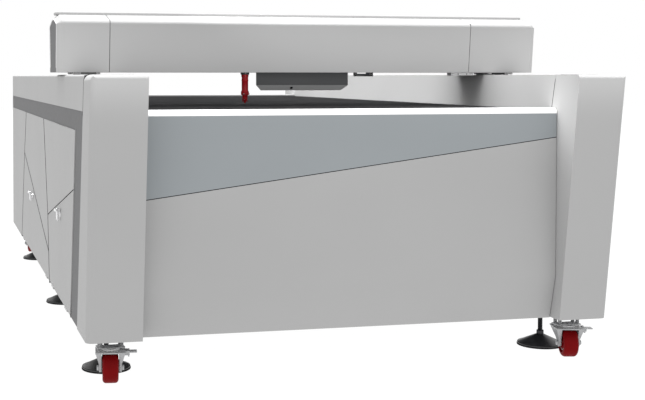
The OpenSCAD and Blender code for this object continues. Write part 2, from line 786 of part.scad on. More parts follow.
// Rounded lip that turns down beside the bed, from the face of the sheet to its back
lip_foot = lip_top - lip_round - 14;
lip_mid = [fy(lip_back), lip_top - lip_round];
lip_points = concat(arc(lip_mid, lip_round, 180, 90, 12), [[fy(bed_front), lip_top],
    [fy(bed_front), lip_foot], [fy(bed_front) - skin, lip_foot], [fy(bed_front) - skin, lip_top - skin]],
    arc(lip_mid, lip_round - skin, 90, 180, 12));
// Receding foot and its flange on the frame, from the back of the sheet to its face
flange_h = 40;
chin_points = [[fy(panel_back) + skin, chin_top], [fy(chin_back) + skin, chin_foot + skin],
    [fy(flange_back) - skin, chin_foot + skin], [fy(flange_back) - skin, chin_foot + flange_h],
    [fy(flange_back), chin_foot + flange_h], [fy(flange_back), chin_foot], [fy(chin_back), chin_foot],
    [fy(panel_back), chin_top]];
module upper_section()
    polygon(concat([[fy(panel_back), chin_top]], lip_points, [[fy(panel_back) + skin, chin_top]]));
module lower_section()
    polygon(concat([[fy(panel_back), lip_mid[1]], [fy(panel_back) + skin, lip_mid[1]]], chin_points));

// Region of the front panel below the split line, moved up or down by d
module below_split(d) xz(-half_d - 1, half_d) polygon([[-far, 0], [far, 0],
    [far, split_left + d + (split_right - split_left) * (far + inner_x) / (2 * inner_x)],
    [-far, split_left + d + (split_right - split_left) * (inner_x - far) / (2 * inner_x)]]);

module front_panel_upper() color(blue_grey) difference() {
    yz(-panel_half, panel_half) upper_section();
    below_split(groove_w / 2);
}

module front_panel_lower() color(light_grey) {
    intersection() {
        yz(-panel_half, panel_half) lower_section();
        below_split(-groove_w / 2);
    }
    // Joggle behind the split line
    joggle(skin - eps, skin + eps, -groove_w / 2);
    joggle(skin, skin, joggle_up);
}

// Strip behind the front sheet, from joggle_down below the split line up to top above it
joggle_up = 14;
joggle_down = 20;
module joggle(back, thick, top) difference() {
    intersection() {
        yz(-panel_half, panel_half) translate([fy(panel_back) + back, chin_top])
            square([thick, lip_top - lip_round - joggle_up - chin_top]);
        below_split(top);
    }
    below_split(-joggle_down);
}

module rear_panel() color(light_grey) difference() {
    at_rear() yz(-panel_half, panel_half) polygon(concat(lip_points, chin_points));
    for (s = [-1, 1]) rod_y([s * duct_x, half_d - panel_back - 40, duct_z], duct_r + 2, 80);
    rod_y([inlet_x, half_d - panel_back - 20, inlet_z], inlet_r, 60);
}

// ---------------------------------------------------------------- bed

bed_end = half_d - bed_front;
slat_half = bed_half - bed_bar;
slat_end = bed_end - bed_bar;
slat_count = floor(2 * slat_end / slat_pitch) - 1;
comb_h = 12;
comb_x = [-slat_half * 0.5, 0, slat_half * 0.5];

module slat_bed() color(bed_grey) {
    difference() {
        block([-bed_half, bed_half], [-bed_end, bed_end], [bracket_top, bed_top - 2]);
        block([-slat_half, slat_half], [-slat_end, slat_end], [bracket_top - 1, bed_top + 1]);
    }
    for (i = [0:slat_count]) let (y = (i - slat_count / 2) * slat_pitch)
        block([-slat_half - eps, slat_half + eps], [y - slat_t / 2, y + slat_t / 2],
            [bed_top - slat_h, bed_top]);
    for (x = comb_x)
        block([x - 4, x + 4], [-slat_end - eps, slat_end + eps],
            [bed_top - slat_h - 5, bed_top - slat_h + comb_h - 5]);
}

tray_half = slat_half + 6;
tray_end = slat_end - 14;
tray_floor = bracket_top - tray_depth;
tray_run = 273;
tray_flat = tray_half - tray_run;
duct_end = half_d - panel_back + duct_out;
tray_lip = 40;
module tray_section(t) {
    rim = bracket_top + (t > 0 ? 1 : 0);
    knee = bracket_top - tray_lip + t / 3;
    polygon([[-tray_half + t, rim], [-tray_half + t, knee], [-tray_flat, tray_floor + t],
        [tray_flat, tray_floor + t], [tray_half - t, knee], [tray_half - t, rim]]);
}
module dust_tray() color(steel) {
    difference() {
        xz(-tray_end, tray_end) tray_section(0);
        xz(-tray_end + skin, tray_end - skin) tray_section(skin);
        for (s = [-1, 1]) rod_y([s * duct_x, tray_end - 20, duct_z], duct_r - skin, 40);
    }
}

// Ducts on the rear wall of the tray, a little thicker outside the rear panel
module exhaust_ducts() color(steel) for (s = [-1, 1]) difference() {
    union() {
        rod_y([s * duct_x, tray_end, duct_z], duct_r - 1, duct_end - tray_end);
        rod_y([s * duct_x, half_d - panel_back + 1, duct_z], duct_r, duct_out - 1);
    }
    rod_y([s * duct_x, tray_end - 20, duct_z], duct_r - skin, far);
}

// ---------------------------------------------------------------- long axis

rail_w = 20;
rail_h = 18;
rail_short = 140;
rail_half = -fy(pulley_back) - rail_short;
motor_y = -fy(pulley_back);
motor_w = 57;
motor_len = 76;
motor_gap = 2;
motor_foot_in = 10;

module y_rails() color(steel) both_sides()
    xz(-rail_half, rail_half) difference() {
        translate([beam_mid - rail_w / 2, rail_seat]) square([rail_w, rail_h]);
        for (s = [-1, 1]) translate([beam_mid + s * rail_w / 2, rail_seat + rail_h / 2]) circle(3);
    }

module stadium(l, r) {
    translate([-l / 2, -r]) square([l, 2 * r]);
    for (s = [-1, 1]) translate([s * l / 2, 0]) circle(r);
}

module y_belts() color(black) both_sides() translate([0, 0, pulley_z])
    yz(pulley_x - belt_w / 2, pulley_x + belt_w / 2) difference() {
        stadium(-2 * fy(pulley_back), pulley_r + play + belt_t);
        stadium(-2 * fy(pulley_back), pulley_r + play);
    }

shaft_r = 4;
module y_motors() color(black) both_sides() difference() {
    union() {
        block([beam_in + motor_gap, beam_in + motor_gap + motor_len],
            [motor_y - motor_w / 2, motor_y + motor_w / 2],
            [pulley_z - motor_w / 2, pulley_z + motor_w / 2]);
        block([beam_in + motor_gap + motor_foot_in, beam_in + motor_gap + motor_len - motor_foot_in],
            [motor_y - motor_w / 2, motor_y + motor_w / 2], [rail_seat, pulley_z - motor_w / 2 + eps]);
    }
    rod_x([beam_in + 1, motor_y, pulley_z], shaft_r + run, 20);
}

module pulley(r, w, flange) {
    cylinder(r = r, h = w);
    for (z = [-1.5, w]) translate([0, 0, z]) cylinder(r = r + flange, h = 1.5);
}

module y_drive_pulleys() color(steel) both_sides() {
    translate([pulley_x - belt_w / 2 - 1, motor_y, pulley_z]) rotate([0, 90, 0])
        pulley(pulley_r, belt_w + 2, 4);
    rod_x([pulley_x, motor_y, pulley_z], shaft_r, beam_in - pulley_x + 18);
}

module y_idlers() color(steel) both_sides() difference() {
    translate([pulley_x - belt_w / 2 - 1, fy(pulley_back), pulley_z]) rotate([0, 90, 0])
        pulley(pulley_r, belt_w + 2, 4);
    rod_x([pulley_x - belt_w, fy(pulley_back), pulley_z], idler_pin_r + run, 2 * belt_w);
}

// ---------------------------------------------------------------- electrics

// Both units stand across the front middle crossbar of the frame
unit_y = fy(cross_at[1]) + tube / 2;
supply_gap = 90;
control_gap = 110;
supply_x = -(frame_x - tube / 2 - supply_gap - supply_w / 2);
control_x = frame_x - tube / 2 - control_gap - control_w / 2;
fin_pitch = 65;
module laser_power_supply() color(steel) {
    block([supply_x - supply_w / 2, supply_x + supply_w / 2],
        [unit_y - 0.45 * supply_d, unit_y + 0.55 * supply_d], [frame_deck, frame_deck + supply_h]);
    // Raised face of its lid
    block([supply_x - supply_w / 2 + 30, supply_x + supply_w / 2 - 30],
        [unit_y - 0.45 * supply_d - 6, unit_y - 0.45 * supply_d + eps],
        [frame_deck + 30, frame_deck + supply_h - 30]);
}

module control_unit() color(steel) {
    block([control_x - control_w / 2, control_x + control_w / 2],
        [unit_y - 0.45 * control_d, unit_y + 0.55 * control_d], [frame_deck, frame_deck + control_h]);
    // Drive modules on its lid
    for (i = [-1.5:1:1.5])
        block([control_x + i * fin_pitch - 25, control_x + i * fin_pitch + 25],
            [unit_y - 0.3 * control_d, unit_y + 0.4 * control_d],
            [frame_deck + control_h - eps, frame_deck + control_h + 20]);
}

// ---------------------------------------------------------------- gantry

g0 = fy(gantry_front);
g_foot = wall_top + gantry_gap;
g_face = g_foot + gantry_face;
g_deck = g_face + gantry_rise;
half_g = half_w + gantry_overhang;
core_front = g0 + head_back + barrel_r + 38;
core_foot = g_foot + 35;
core_top = core_foot + core_h;
core_mid = core_front + core_d / 2;
core_half = frame_x + 10;
path_z = core_foot + 70;
head_y = g0 + head_back;
g_mid = g0 + gantry_d / 2;

// Outline of the gantry covers in Y and Z, t inside their outer faces and down to the height foot
function gantry_points(t, foot) =
    let (low = foot - t, front = g0 + gantry_tuck * (g_face - low) / gantry_face, rear = 2 * g_mid - front)
    inset([[front, low], [rear, low], [2 * g_mid - g0, g_face], [2 * g_mid - g0 - gantry_slope, g_deck],
        [g0 + gantry_slope, g_deck], [g0, g_face]], t);
module gantry_outline(t, foot = g_foot) {
    p = gantry_points(t, foot);
    r = max(gantry_round - t, 1);
    polygon(concat([p[0], p[1]], rounded(p[1], p[2], p[3], r), [p[3], p[4]], rounded(p[4], p[5], p[0], r)));
}

module cover_shell(x0, x1) difference() {
    yz(x0, x1) gantry_outline(0);
    yz(x0 - 1, x1 + 1) gantry_outline(skin, g_foot - 5);
}

// Rib that ties a cover to the top of the beam inside it, clear of the head, the belt and the laser tube
rib_start = 2 * (x_pulley_r + belt_t) + 10;
module rib(x) difference() {
    yz(x, x + skin) gantry_outline(skin / 2);
    block([x - 1, x + skin + 1], [g0, core_front + rib_start], [g_foot - 10, core_top + 30]);
    block([x - 1, x + skin + 1], [g0, g0 + gantry_d], [g_foot - 10, core_top]);
}

module gantry_cover_left() color(light_grey) {
    cover_shell(-half_g + end_chamfer, -half_g + end_left - seam_gap / 2);
    rib(-half_g + end_left - seam_gap / 2 - skin);
    end_ring(-1);
}
module gantry_cover_middle() color(light_grey) {
    cover_shell(-half_g + end_left + seam_gap / 2, half_g - end_right - seam_gap / 2);
    for (x = [-half_g + end_left + seam_gap / 2, half_g - end_right - seam_gap / 2 - skin]) rib(x);
}
module gantry_cover_right() color(light_grey) {
    cover_shell(half_g - end_right + seam_gap / 2, half_g - end_chamfer);
    rib(half_g - end_right + seam_gap / 2);
    end_ring(1);
}

// Ring that narrows the cover towards its end face
end_inset = 0.8 * end_chamfer;
module end_ring(s) mirror([s < 0 ? 1 : 0, 0, 0]) difference() {
    hull() {
        yz(half_g - end_chamfer - eps, half_g - end_chamfer) gantry_outline(0);
        yz(half_g - eps, half_g) gantry_outline(end_inset);
    }
    yz(half_g - end_chamfer - 1, half_g + 1) gantry_outline(end_inset + skin, g_foot - 5);
}

end_plate_t = 10;
end_recess = 2;
end_plate_in = half_g - end_recess - end_plate_t;
module gantry_end_plates() color(dark_grey) both_sides()
    yz(end_plate_in, end_plate_in + end_plate_t) gantry_outline(end_inset + skin);

// Raised lid along the flat top, a folded sheet with cut corners
lid_in = 6;
lid_cut = 14;
function lid_points() = let (x = half_g - lid_in, y0 = g0 + gantry_slope, y1 = 2 * g_mid - y0, c = lid_cut)
    [[-x + c, y0], [x - c, y0], [x, y0 + c], [x, y1 - c], [x - c, y1], [-x + c, y1], [-x, y1 - c],
        [-x, y0 + c]];
module gantry_lid() color(light_grey) translate([0, 0, g_deck]) difference() {
    linear_extrude(lid_h) polygon(lid_points());
    translate([0, 0, -1]) linear_extrude(lid_h - skin + 1) polygon(inset(lid_points(), skin));
}

module gantry_beam() color(steel) {
    difference() {
        block([-core_half, core_half], [core_front, core_front + core_d], [core_foot, core_top]);
        block([-core_half - 1, core_half + 1], [core_front + core_wall, core_front + core_d - core_wall],
            [core_foot + core_wall, core_top - core_wall]);
        // Bores for the shafts of the belt pulleys
        for (x = [-x_end, x_end])
            rod_z([x, x_belt_y, core_top - core_wall - 1], shaft_r + run, core_wall + 2);
    }
    // Arms to the end plates and the limit switch bracket
    both_sides() for (y = [core_front, core_front + core_d - core_wall])
        block([core_half - eps, end_plate_in], [y, y + core_wall], [core_foot, core_foot + 40]);
    limit_bracket();
}

bracket_x = 228;
bracket_w = 60;
module limit_bracket() {
    for (x = [bracket_x, bracket_x + bracket_w - 8])
        block([x, x + 8], [core_front, core_front + 20], [wall_top, core_foot + eps]);
    block([bracket_x, bracket_x + bracket_w], [core_front, core_front + 20], [wall_top, wall_top + 5]);
}

block_w = 44;
jaw_t = 9;
module gantry_feet() color(steel) both_sides() {
    difference() {
        union() {
            for (s = [-1, 1])
                block([beam_mid - block_w / 2, beam_mid + block_w / 2],
                    [core_mid + s * 35 - 28, core_mid + s * 35 + 28], [rail_seat + 2.5, rail_seat + 30]);
            block([beam_mid - 38, beam_mid + 38], [core_mid - foot_half, core_mid + foot_half],
                [rail_seat + 30 - eps, wall_top + 2 + eps]);
            block([slot_in - 2, slot_out + 12], [core_mid - foot_half, core_mid + foot_half],
                [wall_top + 2, g_foot]);
            block([beam_mid - 38, core_half], [core_mid - core_d / 2, core_mid + core_d / 2],
                [g_foot - eps, core_foot]);
            // Jaws on the belt
            block([pulley_x - belt_w / 2, beam_mid - 38 + eps], [core_mid - 20, core_mid + 20],
                [pulley_z + pulley_r - jaw_t, pulley_z + pulley_r + belt_t + jaw_t]);
        }
        xz(-half_d, half_d) translate([beam_mid - rail_w / 2 - play, rail_seat])
            square([rail_w + 2 * play, rail_h + play]);
        block([pulley_x - belt_w / 2 - 1, pulley_x + belt_w / 2 + play], [core_mid - 21, core_mid + 21],
            [pulley_z + pulley_r, pulley_z + pulley_r + belt_t + 2 * play]);
    }
}

belly_front = g0 + head_back + barrel_r + 7;
belly_rear = belly_front + belly_d;
module belly_housing() color(dark_grey) {
    foot = g_foot - belly_drop;
    strip = foot + belly_strip;
    half = belly_w / 2;
    intersection() {
        xz(belly_front, belly_rear) polygon([[-half, g_foot], [-half, strip],
            [-half + belly_chamfer, foot], [half - belly_chamfer, foot], [half, strip], [half, g_foot]]);
        yz(-half, half) polygon([[belly_front, g_foot], [belly_front, strip],
            [belly_front + belly_strip, foot], [belly_rear - belly_strip, foot], [belly_rear, strip],
            [belly_rear, g_foot]]);
        translate([0, 0, foot - 1]) linear_extrude(belly_drop) polygon([[-half, belly_front],
            [half, belly_front], [half - belly_taper, belly_rear], [belly_taper - half, belly_rear]]);
    }
    // Neck up to the beam
    block([-0.4 * belly_w, 0.4 * belly_w], [core_front + 5, core_front + core_d - 5],
        [g_foot - 1 - eps, core_foot]);
}

tube_y = core_front + core_d + laser_r + 10;
mirror_x = -half_g + end_chamfer + 42;
mirror_w = 28;
mirror_foot = path_z - 30;
laser_cap = 26;
laser_len = 2 * (-mirror_x - mirror_w / 2 - laser_gap - laser_cap);
module laser_tube() color([0.75, 0.80, 0.82]) {
    rod_x([-laser_len / 2, tube_y, path_z], laser_r, laser_len);
    for (s = [-1, 1]) {
        rod_x([s > 0 ? laser_len / 2 - eps : -laser_len / 2 - laser_cap, tube_y, path_z],
            laser_r * 0.45, laser_cap + eps);
        block([s * 0.36 * laser_len - 15, s * 0.36 * laser_len + 15], [core_front + core_d, tube_y],
            [path_z - 12, path_z + 12]);
    }
}

// A block with a face cut at 45 degrees, turned by a
module mirror_block(y, a) translate([mirror_x, y, path_z]) difference() {
    translate([-mirror_w / 2, -mirror_w / 2, -24]) cube([mirror_w, mirror_w, 48]);
    rotate([0, 0, a]) translate([6, -30, -16]) cube([40, 60, 32]);
}
module mirror_mounts() color(steel) {
    mirror_block(head_y, 45);
    mirror_block(tube_y, -45);
    block([mirror_x - mirror_w / 2, mirror_x + mirror_w / 2], [head_y - mirror_w / 2, tube_y + mirror_w / 2],
        [mirror_foot, mirror_foot + 6 + eps]);
    // Foot on the arms of the beam
    block([mirror_x - mirror_w / 2, mirror_x + mirror_w / 2], [core_front, core_front + core_d],
        [core_foot + 40, mirror_foot + eps]);
}

x_rail_w = 15;
x_rail_h = 12;
x_rail_z = core_foot + 50;
x_rail_half = core_half - 60;
module x_rail() color(steel) yz(-x_rail_half, x_rail_half) difference() {
    translate([core_front - x_rail_h, x_rail_z - x_rail_w / 2]) square([x_rail_h, x_rail_w]);
    for (s = [-1, 1]) translate([core_front - x_rail_h / 2, x_rail_z + s * x_rail_w / 2]) circle(2);
}

x_belt_z = core_top + 4;
x_belt_w = 10;
x_belt_y = core_front + x_pulley_r + 4;
x_end = core_half - 30;
x_motor_w = 42;
module x_belt() color(black) translate([0, x_belt_y, x_belt_z]) linear_extrude(x_belt_w) difference() {
    stadium(2 * x_end, x_pulley_r + play + belt_t);
    stadium(2 * x_end, x_pulley_r + play);
}
module x_motor() color(black) difference() {
    block([x_end - x_motor_w / 2, x_end + x_motor_w / 2],
        [core_front + core_wall, core_front + core_wall + x_motor_w],
        [core_top - core_wall - 44, core_top - core_wall]);
    rod_z([x_end, x_belt_y, core_top - core_wall - 12], shaft_r + run, 20);
}
module x_drive_pulley() color(steel) translate([x_end, x_belt_y, x_belt_z]) {
    translate([0, 0, -0.5]) pulley(x_pulley_r, x_belt_w + 1, 2);
    rod_z([0, 0, core_top - core_wall - 10 - x_belt_z], shaft_r, 12 + core_wall + 3);
}
module x_idler() color(steel) translate([-x_end, x_belt_y, x_belt_z]) {
    translate([0, 0, -0.5]) pulley(x_pulley_r, x_belt_w + 1, 2);
    rod_z([0, 0, -4 - core_wall], shaft_r, 4 + core_wall);
}

// ---------------------------------------------------------------- head

carriage_w = 90;
plate_back = head_y + barrel_r + 2;
plate_thick = 8;
sleeve_r = barrel_r + 4.5;
sleeve_foot = g_foot + 7;

sleeve_h = 46;
module head_carriage() color(steel) difference() {
    union() {
        // Plate, bearing block and belt clamp
        block([head_x - carriage_w / 2, head_x + carriage_w / 2], [plate_back, plate_back + plate_thick],
            [sleeve_foot, core_top + 22]);
        block([head_x - 35, head_x + 35], [plate_back + plate_thick - eps, core_front - 3],
            [x_rail_z - 20, x_rail_z + 20]);
        block([head_x - 20, head_x + 20],
            [plate_back + plate_thick - eps, core_front + belt_t + 2 * play + 6],
            [x_belt_z, x_belt_z + x_belt_w + 6]);
        // Sleeve of the lens barrel and mirror block above it
        rod_z([head_x, head_y, sleeve_foot], sleeve_r, sleeve_h);
        block([head_x - sleeve_r, head_x + sleeve_r], [head_y, plate_back + eps],
            [sleeve_foot, sleeve_foot + sleeve_h]);
        difference() {
            block([head_x - 20, head_x + 20], [head_y - 18, plate_back + eps],
                [sleeve_foot + sleeve_h - eps, path_z + 24]);
            translate([head_x, head_y, path_z]) rotate([0, -45, 0]) translate([6, -30, 6]) cube([60, 60, 60]);
        }
    }
    rod_z([head_x, head_y, sleeve_foot - 1], barrel_r + run, sleeve_h + 1);
    rod_z([head_x, head_y, sleeve_foot], path_r, path_z - sleeve_foot);
    rod_x([head_x - 60, head_y, path_z], path_r, 60);
    // Groove for the rail
    yz(head_x - 50, head_x + 50)
        translate([core_front - x_rail_h - play, x_rail_z - x_rail_w / 2 - play])
            square([x_rail_h, x_rail_w + 2 * play]);
    // Slot for the belt
    block([head_x - 50, head_x + 50], [x_belt_y - x_pulley_r - belt_t - 2 * play, x_belt_y - x_pulley_r],
        [x_belt_z - 1, x_belt_z + x_belt_w + 1]);
}

nozzle_tip = bed_top + nozzle_gap;
module lens_barrel() color(red) translate([head_x, head_y, 0]) rotate_extrude() polygon([
    [path_r / 2, nozzle_tip], [path_r / 2 + 1.5, nozzle_tip], [barrel_r * 0.55, nozzle_tip + 16],
    [barrel_r + 1.5, nozzle_tip + 32], [barrel_r + 1.5, nozzle_tip + 44], [barrel_r, nozzle_tip + 48],
    [barrel_r, sleeve_foot + 34], [path_r, sleeve_foot + 34], [path_r, nozzle_tip + 30]]);

// ---------------------------------------------------------------- nodes

base_frame();
side_frames();
on_left() wall_cover(false);  // wall_cover_left
wall_cover(true);  // wall_cover_right
on_left() side_panel();  // side_panel_left
side_panel();  // side_panel_right
side_bands();
on_left() tower_cover();  // tower_front_left
tower_cover();  // tower_front_right
on_left() rear_cap();  // rear_cap_left
rear_cap();  // rear_cap_right
front_panel_upper();
front_panel_lower();
rear_panel();
slat_bed();
dust_tray();
exhaust_ducts();
y_rails();
y_belts();
y_motors();
laser_power_supply();
control_unit();
caster_mounts();
levelling_feet();
color(steel) at_caster(-1) front_fork();  // caster_fork_left
color(steel) at_caster(1) front_fork();  // caster_fork_right
color(steel) at_caster(-1) brake_pedal();  // brake_pedal_left
color(steel) at_caster(1) brake_pedal();  // brake_pedal_right
wheel_front(-1);  // wheel_front_left
wheel_front(1);  // wheel_front_right
wheel_rear(-1);  // wheel_rear_left
wheel_rear(1);  // wheel_rear_right
on_left() door(front_door_outline, front_hinges);  // door_front_left
on_left() door(rear_door_outline, rear_hinges);  // door_rear_left
door(front_door_outline, front_hinges);  // door_front_right
door(rear_door_outline, rear_hinges);  // door_rear_right
on_left() latch(front_door_outline);  // latch_front_left
on_left() latch(rear_door_outline);  // latch_rear_left
latch(front_door_outline);  // latch_front_right
latch(rear_door_outline);  // latch_rear_right
y_drive_pulleys();
y_idlers();
stop_button();
gantry_beam();
gantry_feet();
gantry_cover_left();
gantry_cover_middle();
gantry_cover_right();
gantry_lid();
gantry_end_plates();
belly_housing();
laser_tube();
mirror_mounts();
x_rail();
x_motor();
x_belt();
x_drive_pulley();
x_idler();
head_carriage();
lens_barrel();
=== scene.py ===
import bpy
import bmesh
import json
from math import cos, pi, radians, sin
from mathutils import Matrix, Vector


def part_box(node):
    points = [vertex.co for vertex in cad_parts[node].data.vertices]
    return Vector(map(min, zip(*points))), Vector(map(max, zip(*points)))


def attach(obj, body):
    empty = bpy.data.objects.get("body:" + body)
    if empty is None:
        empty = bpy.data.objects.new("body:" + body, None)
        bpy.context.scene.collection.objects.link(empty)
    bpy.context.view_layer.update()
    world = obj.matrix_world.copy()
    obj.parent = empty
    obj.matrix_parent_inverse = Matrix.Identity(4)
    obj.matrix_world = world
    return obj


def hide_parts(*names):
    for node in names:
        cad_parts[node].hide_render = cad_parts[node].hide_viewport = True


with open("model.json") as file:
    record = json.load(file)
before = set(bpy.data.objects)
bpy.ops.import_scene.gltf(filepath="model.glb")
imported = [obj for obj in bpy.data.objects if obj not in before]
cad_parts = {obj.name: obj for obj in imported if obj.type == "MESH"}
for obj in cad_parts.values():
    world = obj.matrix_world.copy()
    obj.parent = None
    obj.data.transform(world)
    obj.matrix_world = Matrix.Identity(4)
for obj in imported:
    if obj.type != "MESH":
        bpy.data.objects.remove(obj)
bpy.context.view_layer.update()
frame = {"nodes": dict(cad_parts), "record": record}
NODES = frame["nodes"]
RECORD = frame["record"]
# Lowest and highest corner of a CAD node at rest
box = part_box
MM = 0.001
# Which way out each side lies along X
SIDES = {"left": -1, "right": 1}


def mm(*lengths):
    """Lengths given in millimetres, in metres."""
    return tuple(length * MM for length in lengths)


# ---------------------------------------------------------------- materials

def linear(*srgb):
    """Linear colour of an sRGB colour given from 0 to 255."""
    values = [c / 255 for c in srgb]
    return tuple(v / 12.92 if v <= 0.04045 else ((v + 0.055) / 1.055) ** 2.4 for v in values) + (1,)


def shade(colour, by):
    """The same colour, lighter or darker by a factor."""
    return tuple(c * by for c in colour[:3]) + (1,)


class Shader:
    """A new material with one Principled shader and short calls to build its nodes."""

    def __init__(self, name):
        self.mat = bpy.data.materials.new(name)
        self.mat.use_nodes = True
        self.tree = self.mat.node_tree
        self.out = self.tree.nodes["Principled BSDF"]
        self.place = self.add("ShaderNodeTexCoord").outputs["Object"]

    def add(self, kind, **inputs):
        """A new node with the values of its inputs."""
        node = self.tree.nodes.new(kind)
        for key, value in inputs.items():
            node.inputs[key.replace("_", " ")].default_value = value
        return node

    def link(self, a, b):
        self.tree.links.new(a, b)

    def set(self, **values):
        """Sets values on the shader's own sockets."""
        for key, value in values.items():
            self.out.inputs[key.replace("_", " ")].default_value = value
        return self

    def noise(self, scale, detail=2.0, stretch=(1, 1, 1)):
        """Noise on the piece's own coordinates; scale is how many of its cells fit in a metre."""
        place = self.place
        if tuple(stretch) != (1, 1, 1):
            mapping = self.add("ShaderNodeMapping", Scale=stretch)
            self.link(place, mapping.inputs["Vector"])
            place = mapping.outputs["Vector"]
        node = self.add("ShaderNodeTexNoise", Scale=scale, Detail=detail)
        self.link(place, node.inputs["Vector"])
        return node.outputs["Fac"]

    def colour(self, fac, stops):
        """Colours the surface by a ramp over fac."""
        node = self.add("ShaderNodeValToRGB")
        points = node.color_ramp.elements
        while len(points) < len(stops):
            points.new(0.5)
        for point, (at, colour) in zip(points, stops):
            point.position = at
            point.color = colour
        self.link(fac, node.inputs["Fac"])
        self.link(node.outputs["Color"], self.out.inputs["Base Color"])
        return self

    def roughness(self, fac, low, high):
        """Roughness that runs from low to high over the middle of fac's range."""
        node = self.add("ShaderNodeMapRange", From_Min=0.3, From_Max=0.7, To_Min=low, To_Max=high)
        self.link(fac, node.inputs["Value"])
        self.link(node.outputs["Result"], self.out.inputs["Roughness"])
        return self

    def bump(self, height, distance, strength):
        """A bump that stands up to distance metres high."""
        node = self.add("ShaderNodeBump", Distance=distance, Strength=strength)
        self.link(height, node.inputs["Height"])
        self.link(node.outputs["Normal"], self.out.inputs["Normal"])
        return self


def powder_coat(name, colour, rough=0.55, peel=0.00005, gloss=0.04):
    """Satin powder coat: orange peel a millimetre or two across and very faint clouding."""
    s = Shader(name).set(Specular_IOR_Level=gloss)
    s.colour(s.noise(2.3, 3), [(0.3, shade(colour, 0.985)), (0.7, shade(colour, 1.015))])
    s.roughness(s.noise(40), rough - 0.03, rough + 0.03)
    return s.bump(s.noise(520), peel, 0.5).mat


def brushed(name, colour, rough, stretch=(1, 60, 60), metallic=1.0):
    """Metal with fine lines along the axis whose stretch is the least."""
    s = Shader(name).set(Metallic=metallic)
    lines = s.noise(14, 4, stretch)
    s.colour(lines, [(0.25, shade(colour, 0.86)), (0.75, shade(colour, 1.1))])
    s.roughness(lines, rough - 0.06, rough + 0.08)
    return s.bump(lines, 0.00008, 0.5).mat


def moulded(name, colour, rough, grain=700, depth=0.00005, gloss=0.4):
    """Moulded plastic, rubber or thick paint with a fine grain."""
    s = Shader(name).set(Specular_IOR_Level=gloss)
    s.colour(s.noise(30, 3), [(0.3, shade(colour, 0.9)), (0.7, shade(colour, 1.08))])
    s.roughness(s.noise(90), rough - 0.05, rough + 0.06)
    return s.bump(s.noise(grain), depth, 0.6).mat


def bed_steel():
    """Dark slats with scorched, lighter and darker patches."""
    s = Shader("bed_steel").set(Metallic=0.0, Specular_IOR_Level=0.08)
    dark = linear(78, 78, 79)
    s.colour(s.noise(9, 6, (1, 4, 6)), [(0.25, shade(dark, 0.75)), (0.55, dark), (0.8, shade(dark, 1.4))])
    s.roughness(s.noise(25, 3), 0.7, 0.85)
    return s.bump(s.noise(160, 4), 0.0002, 0.5).mat


def glass():
    """Clear glass, faintly uneven."""
    s = Shader("tube_glass").set(Transmission_Weight=0.9, IOR=1.47, Alpha=0.55)
    s.colour(s.noise(5), [(0.3, linear(208, 220, 224)), (0.7, linear(228, 236, 238))])
    s.roughness(s.noise(12), 0.03, 0.08)
    return s.bump(s.noise(8), 0.0002, 0.3).mat


# Noise stretched into faint upright lines
UPRIGHT = (40, 40, 8)
M = {
    "light_grey_paint": powder_coat("light_grey_paint", linear(174, 174, 174)),
    "blue_grey_paint": powder_coat("blue_grey_paint", linear(152, 157, 160)),
    "dark_grey_paint": powder_coat("dark_grey_paint", linear(110, 110, 111), 0.6, gloss=0.08),
    "frame_paint": powder_coat("frame_paint", linear(78, 80, 84), 0.55, 0.0001),
    "bed_steel": bed_steel(),
    "steel": brushed("steel", linear(122, 123, 124), 0.42, metallic=0.5),
    "black_metal": moulded("black_metal", linear(44, 45, 46), 0.34, 500, 0.00003, 0.55),
    "belt_rubber": moulded("belt_rubber", linear(26, 26, 27), 0.75, 900, 0.0001, 0.2),
    "red_wheel": moulded("red_wheel", linear(114, 10, 13), 0.5, 600, gloss=0.05),
    "red_paint": moulded("red_paint", linear(138, 18, 24), 0.34, 900, 0.00003, 0.15),
    "button_red": moulded("button_red", linear(186, 24, 26), 0.3),
    "tube_glass": glass(),
    "chrome": brushed("chrome", linear(243, 243, 244), 0.2, (30, 30, 4)),
    # Finishes that no slot of the record has
    # Near black: painted shade in joints, grooves, vents and holes; also the small black screws
    "black_and_painted_shade": moulded("black_and_painted_shade", linear(14, 14, 15), 0.9, 900, 0.00005, 0.05),
    "brass": brushed("brass", linear(196, 158, 92), 0.3),
    "signal_yellow": moulded("signal_yellow", linear(226, 184, 40), 0.4),
    "belly_paint": powder_coat("belly_paint", linear(88, 89, 90), 0.6, 0.0001, 0.1),
    # A lighter grey that paints in the light on the belly's lower chamfer
    "painted_lit_grey": powder_coat("painted_lit_grey", linear(172, 172, 172)),
    # Near white: painted highlights on the gantry's end trims and the panels' lips, painted light on the blocks under
    # the gantry, and the white sensor block
    "white_and_painted_highlight": powder_coat("white_and_painted_highlight", linear(244, 244, 244)),
    "zinc": brushed("zinc", linear(174, 175, 176), 0.36, UPRIGHT, 0.3),
    # Zinc lighter than the metal's own: painted light on faces of caster parts that look up, and in the swivel race
    "painted_lit_zinc": brushed("painted_lit_zinc", linear(240, 240, 240), 0.45, UPRIGHT, 0.05),
    "black_steel": brushed("black_steel", linear(60, 61, 64), 0.4, UPRIGHT, 0.5),
    "milky_glass": moulded("milky_glass", linear(206, 216, 222), 0.2, 300, 0.00002),
}
SLOT_OF = {row["node"]: row["material_slot"] for row in RECORD["subparts"]}
BODY_OF = {member: body for body, members in RECORD["behaviour"]["bodies"].items() for member in members}


# ---------------------------------------------------------------- building pieces

def smooth(mesh, angle):
    """Smooth shading with sharp edges where faces meet at more than an angle in degrees."""
    for polygon in mesh.polygons:
        polygon.use_smooth = True
    mesh.set_sharp_from_angle(angle=radians(angle))


for name, node in NODES.items():
    node.data.materials.clear()
    node.data.materials.append(M[SLOT_OF[name]])
    smooth(node.data, 30)


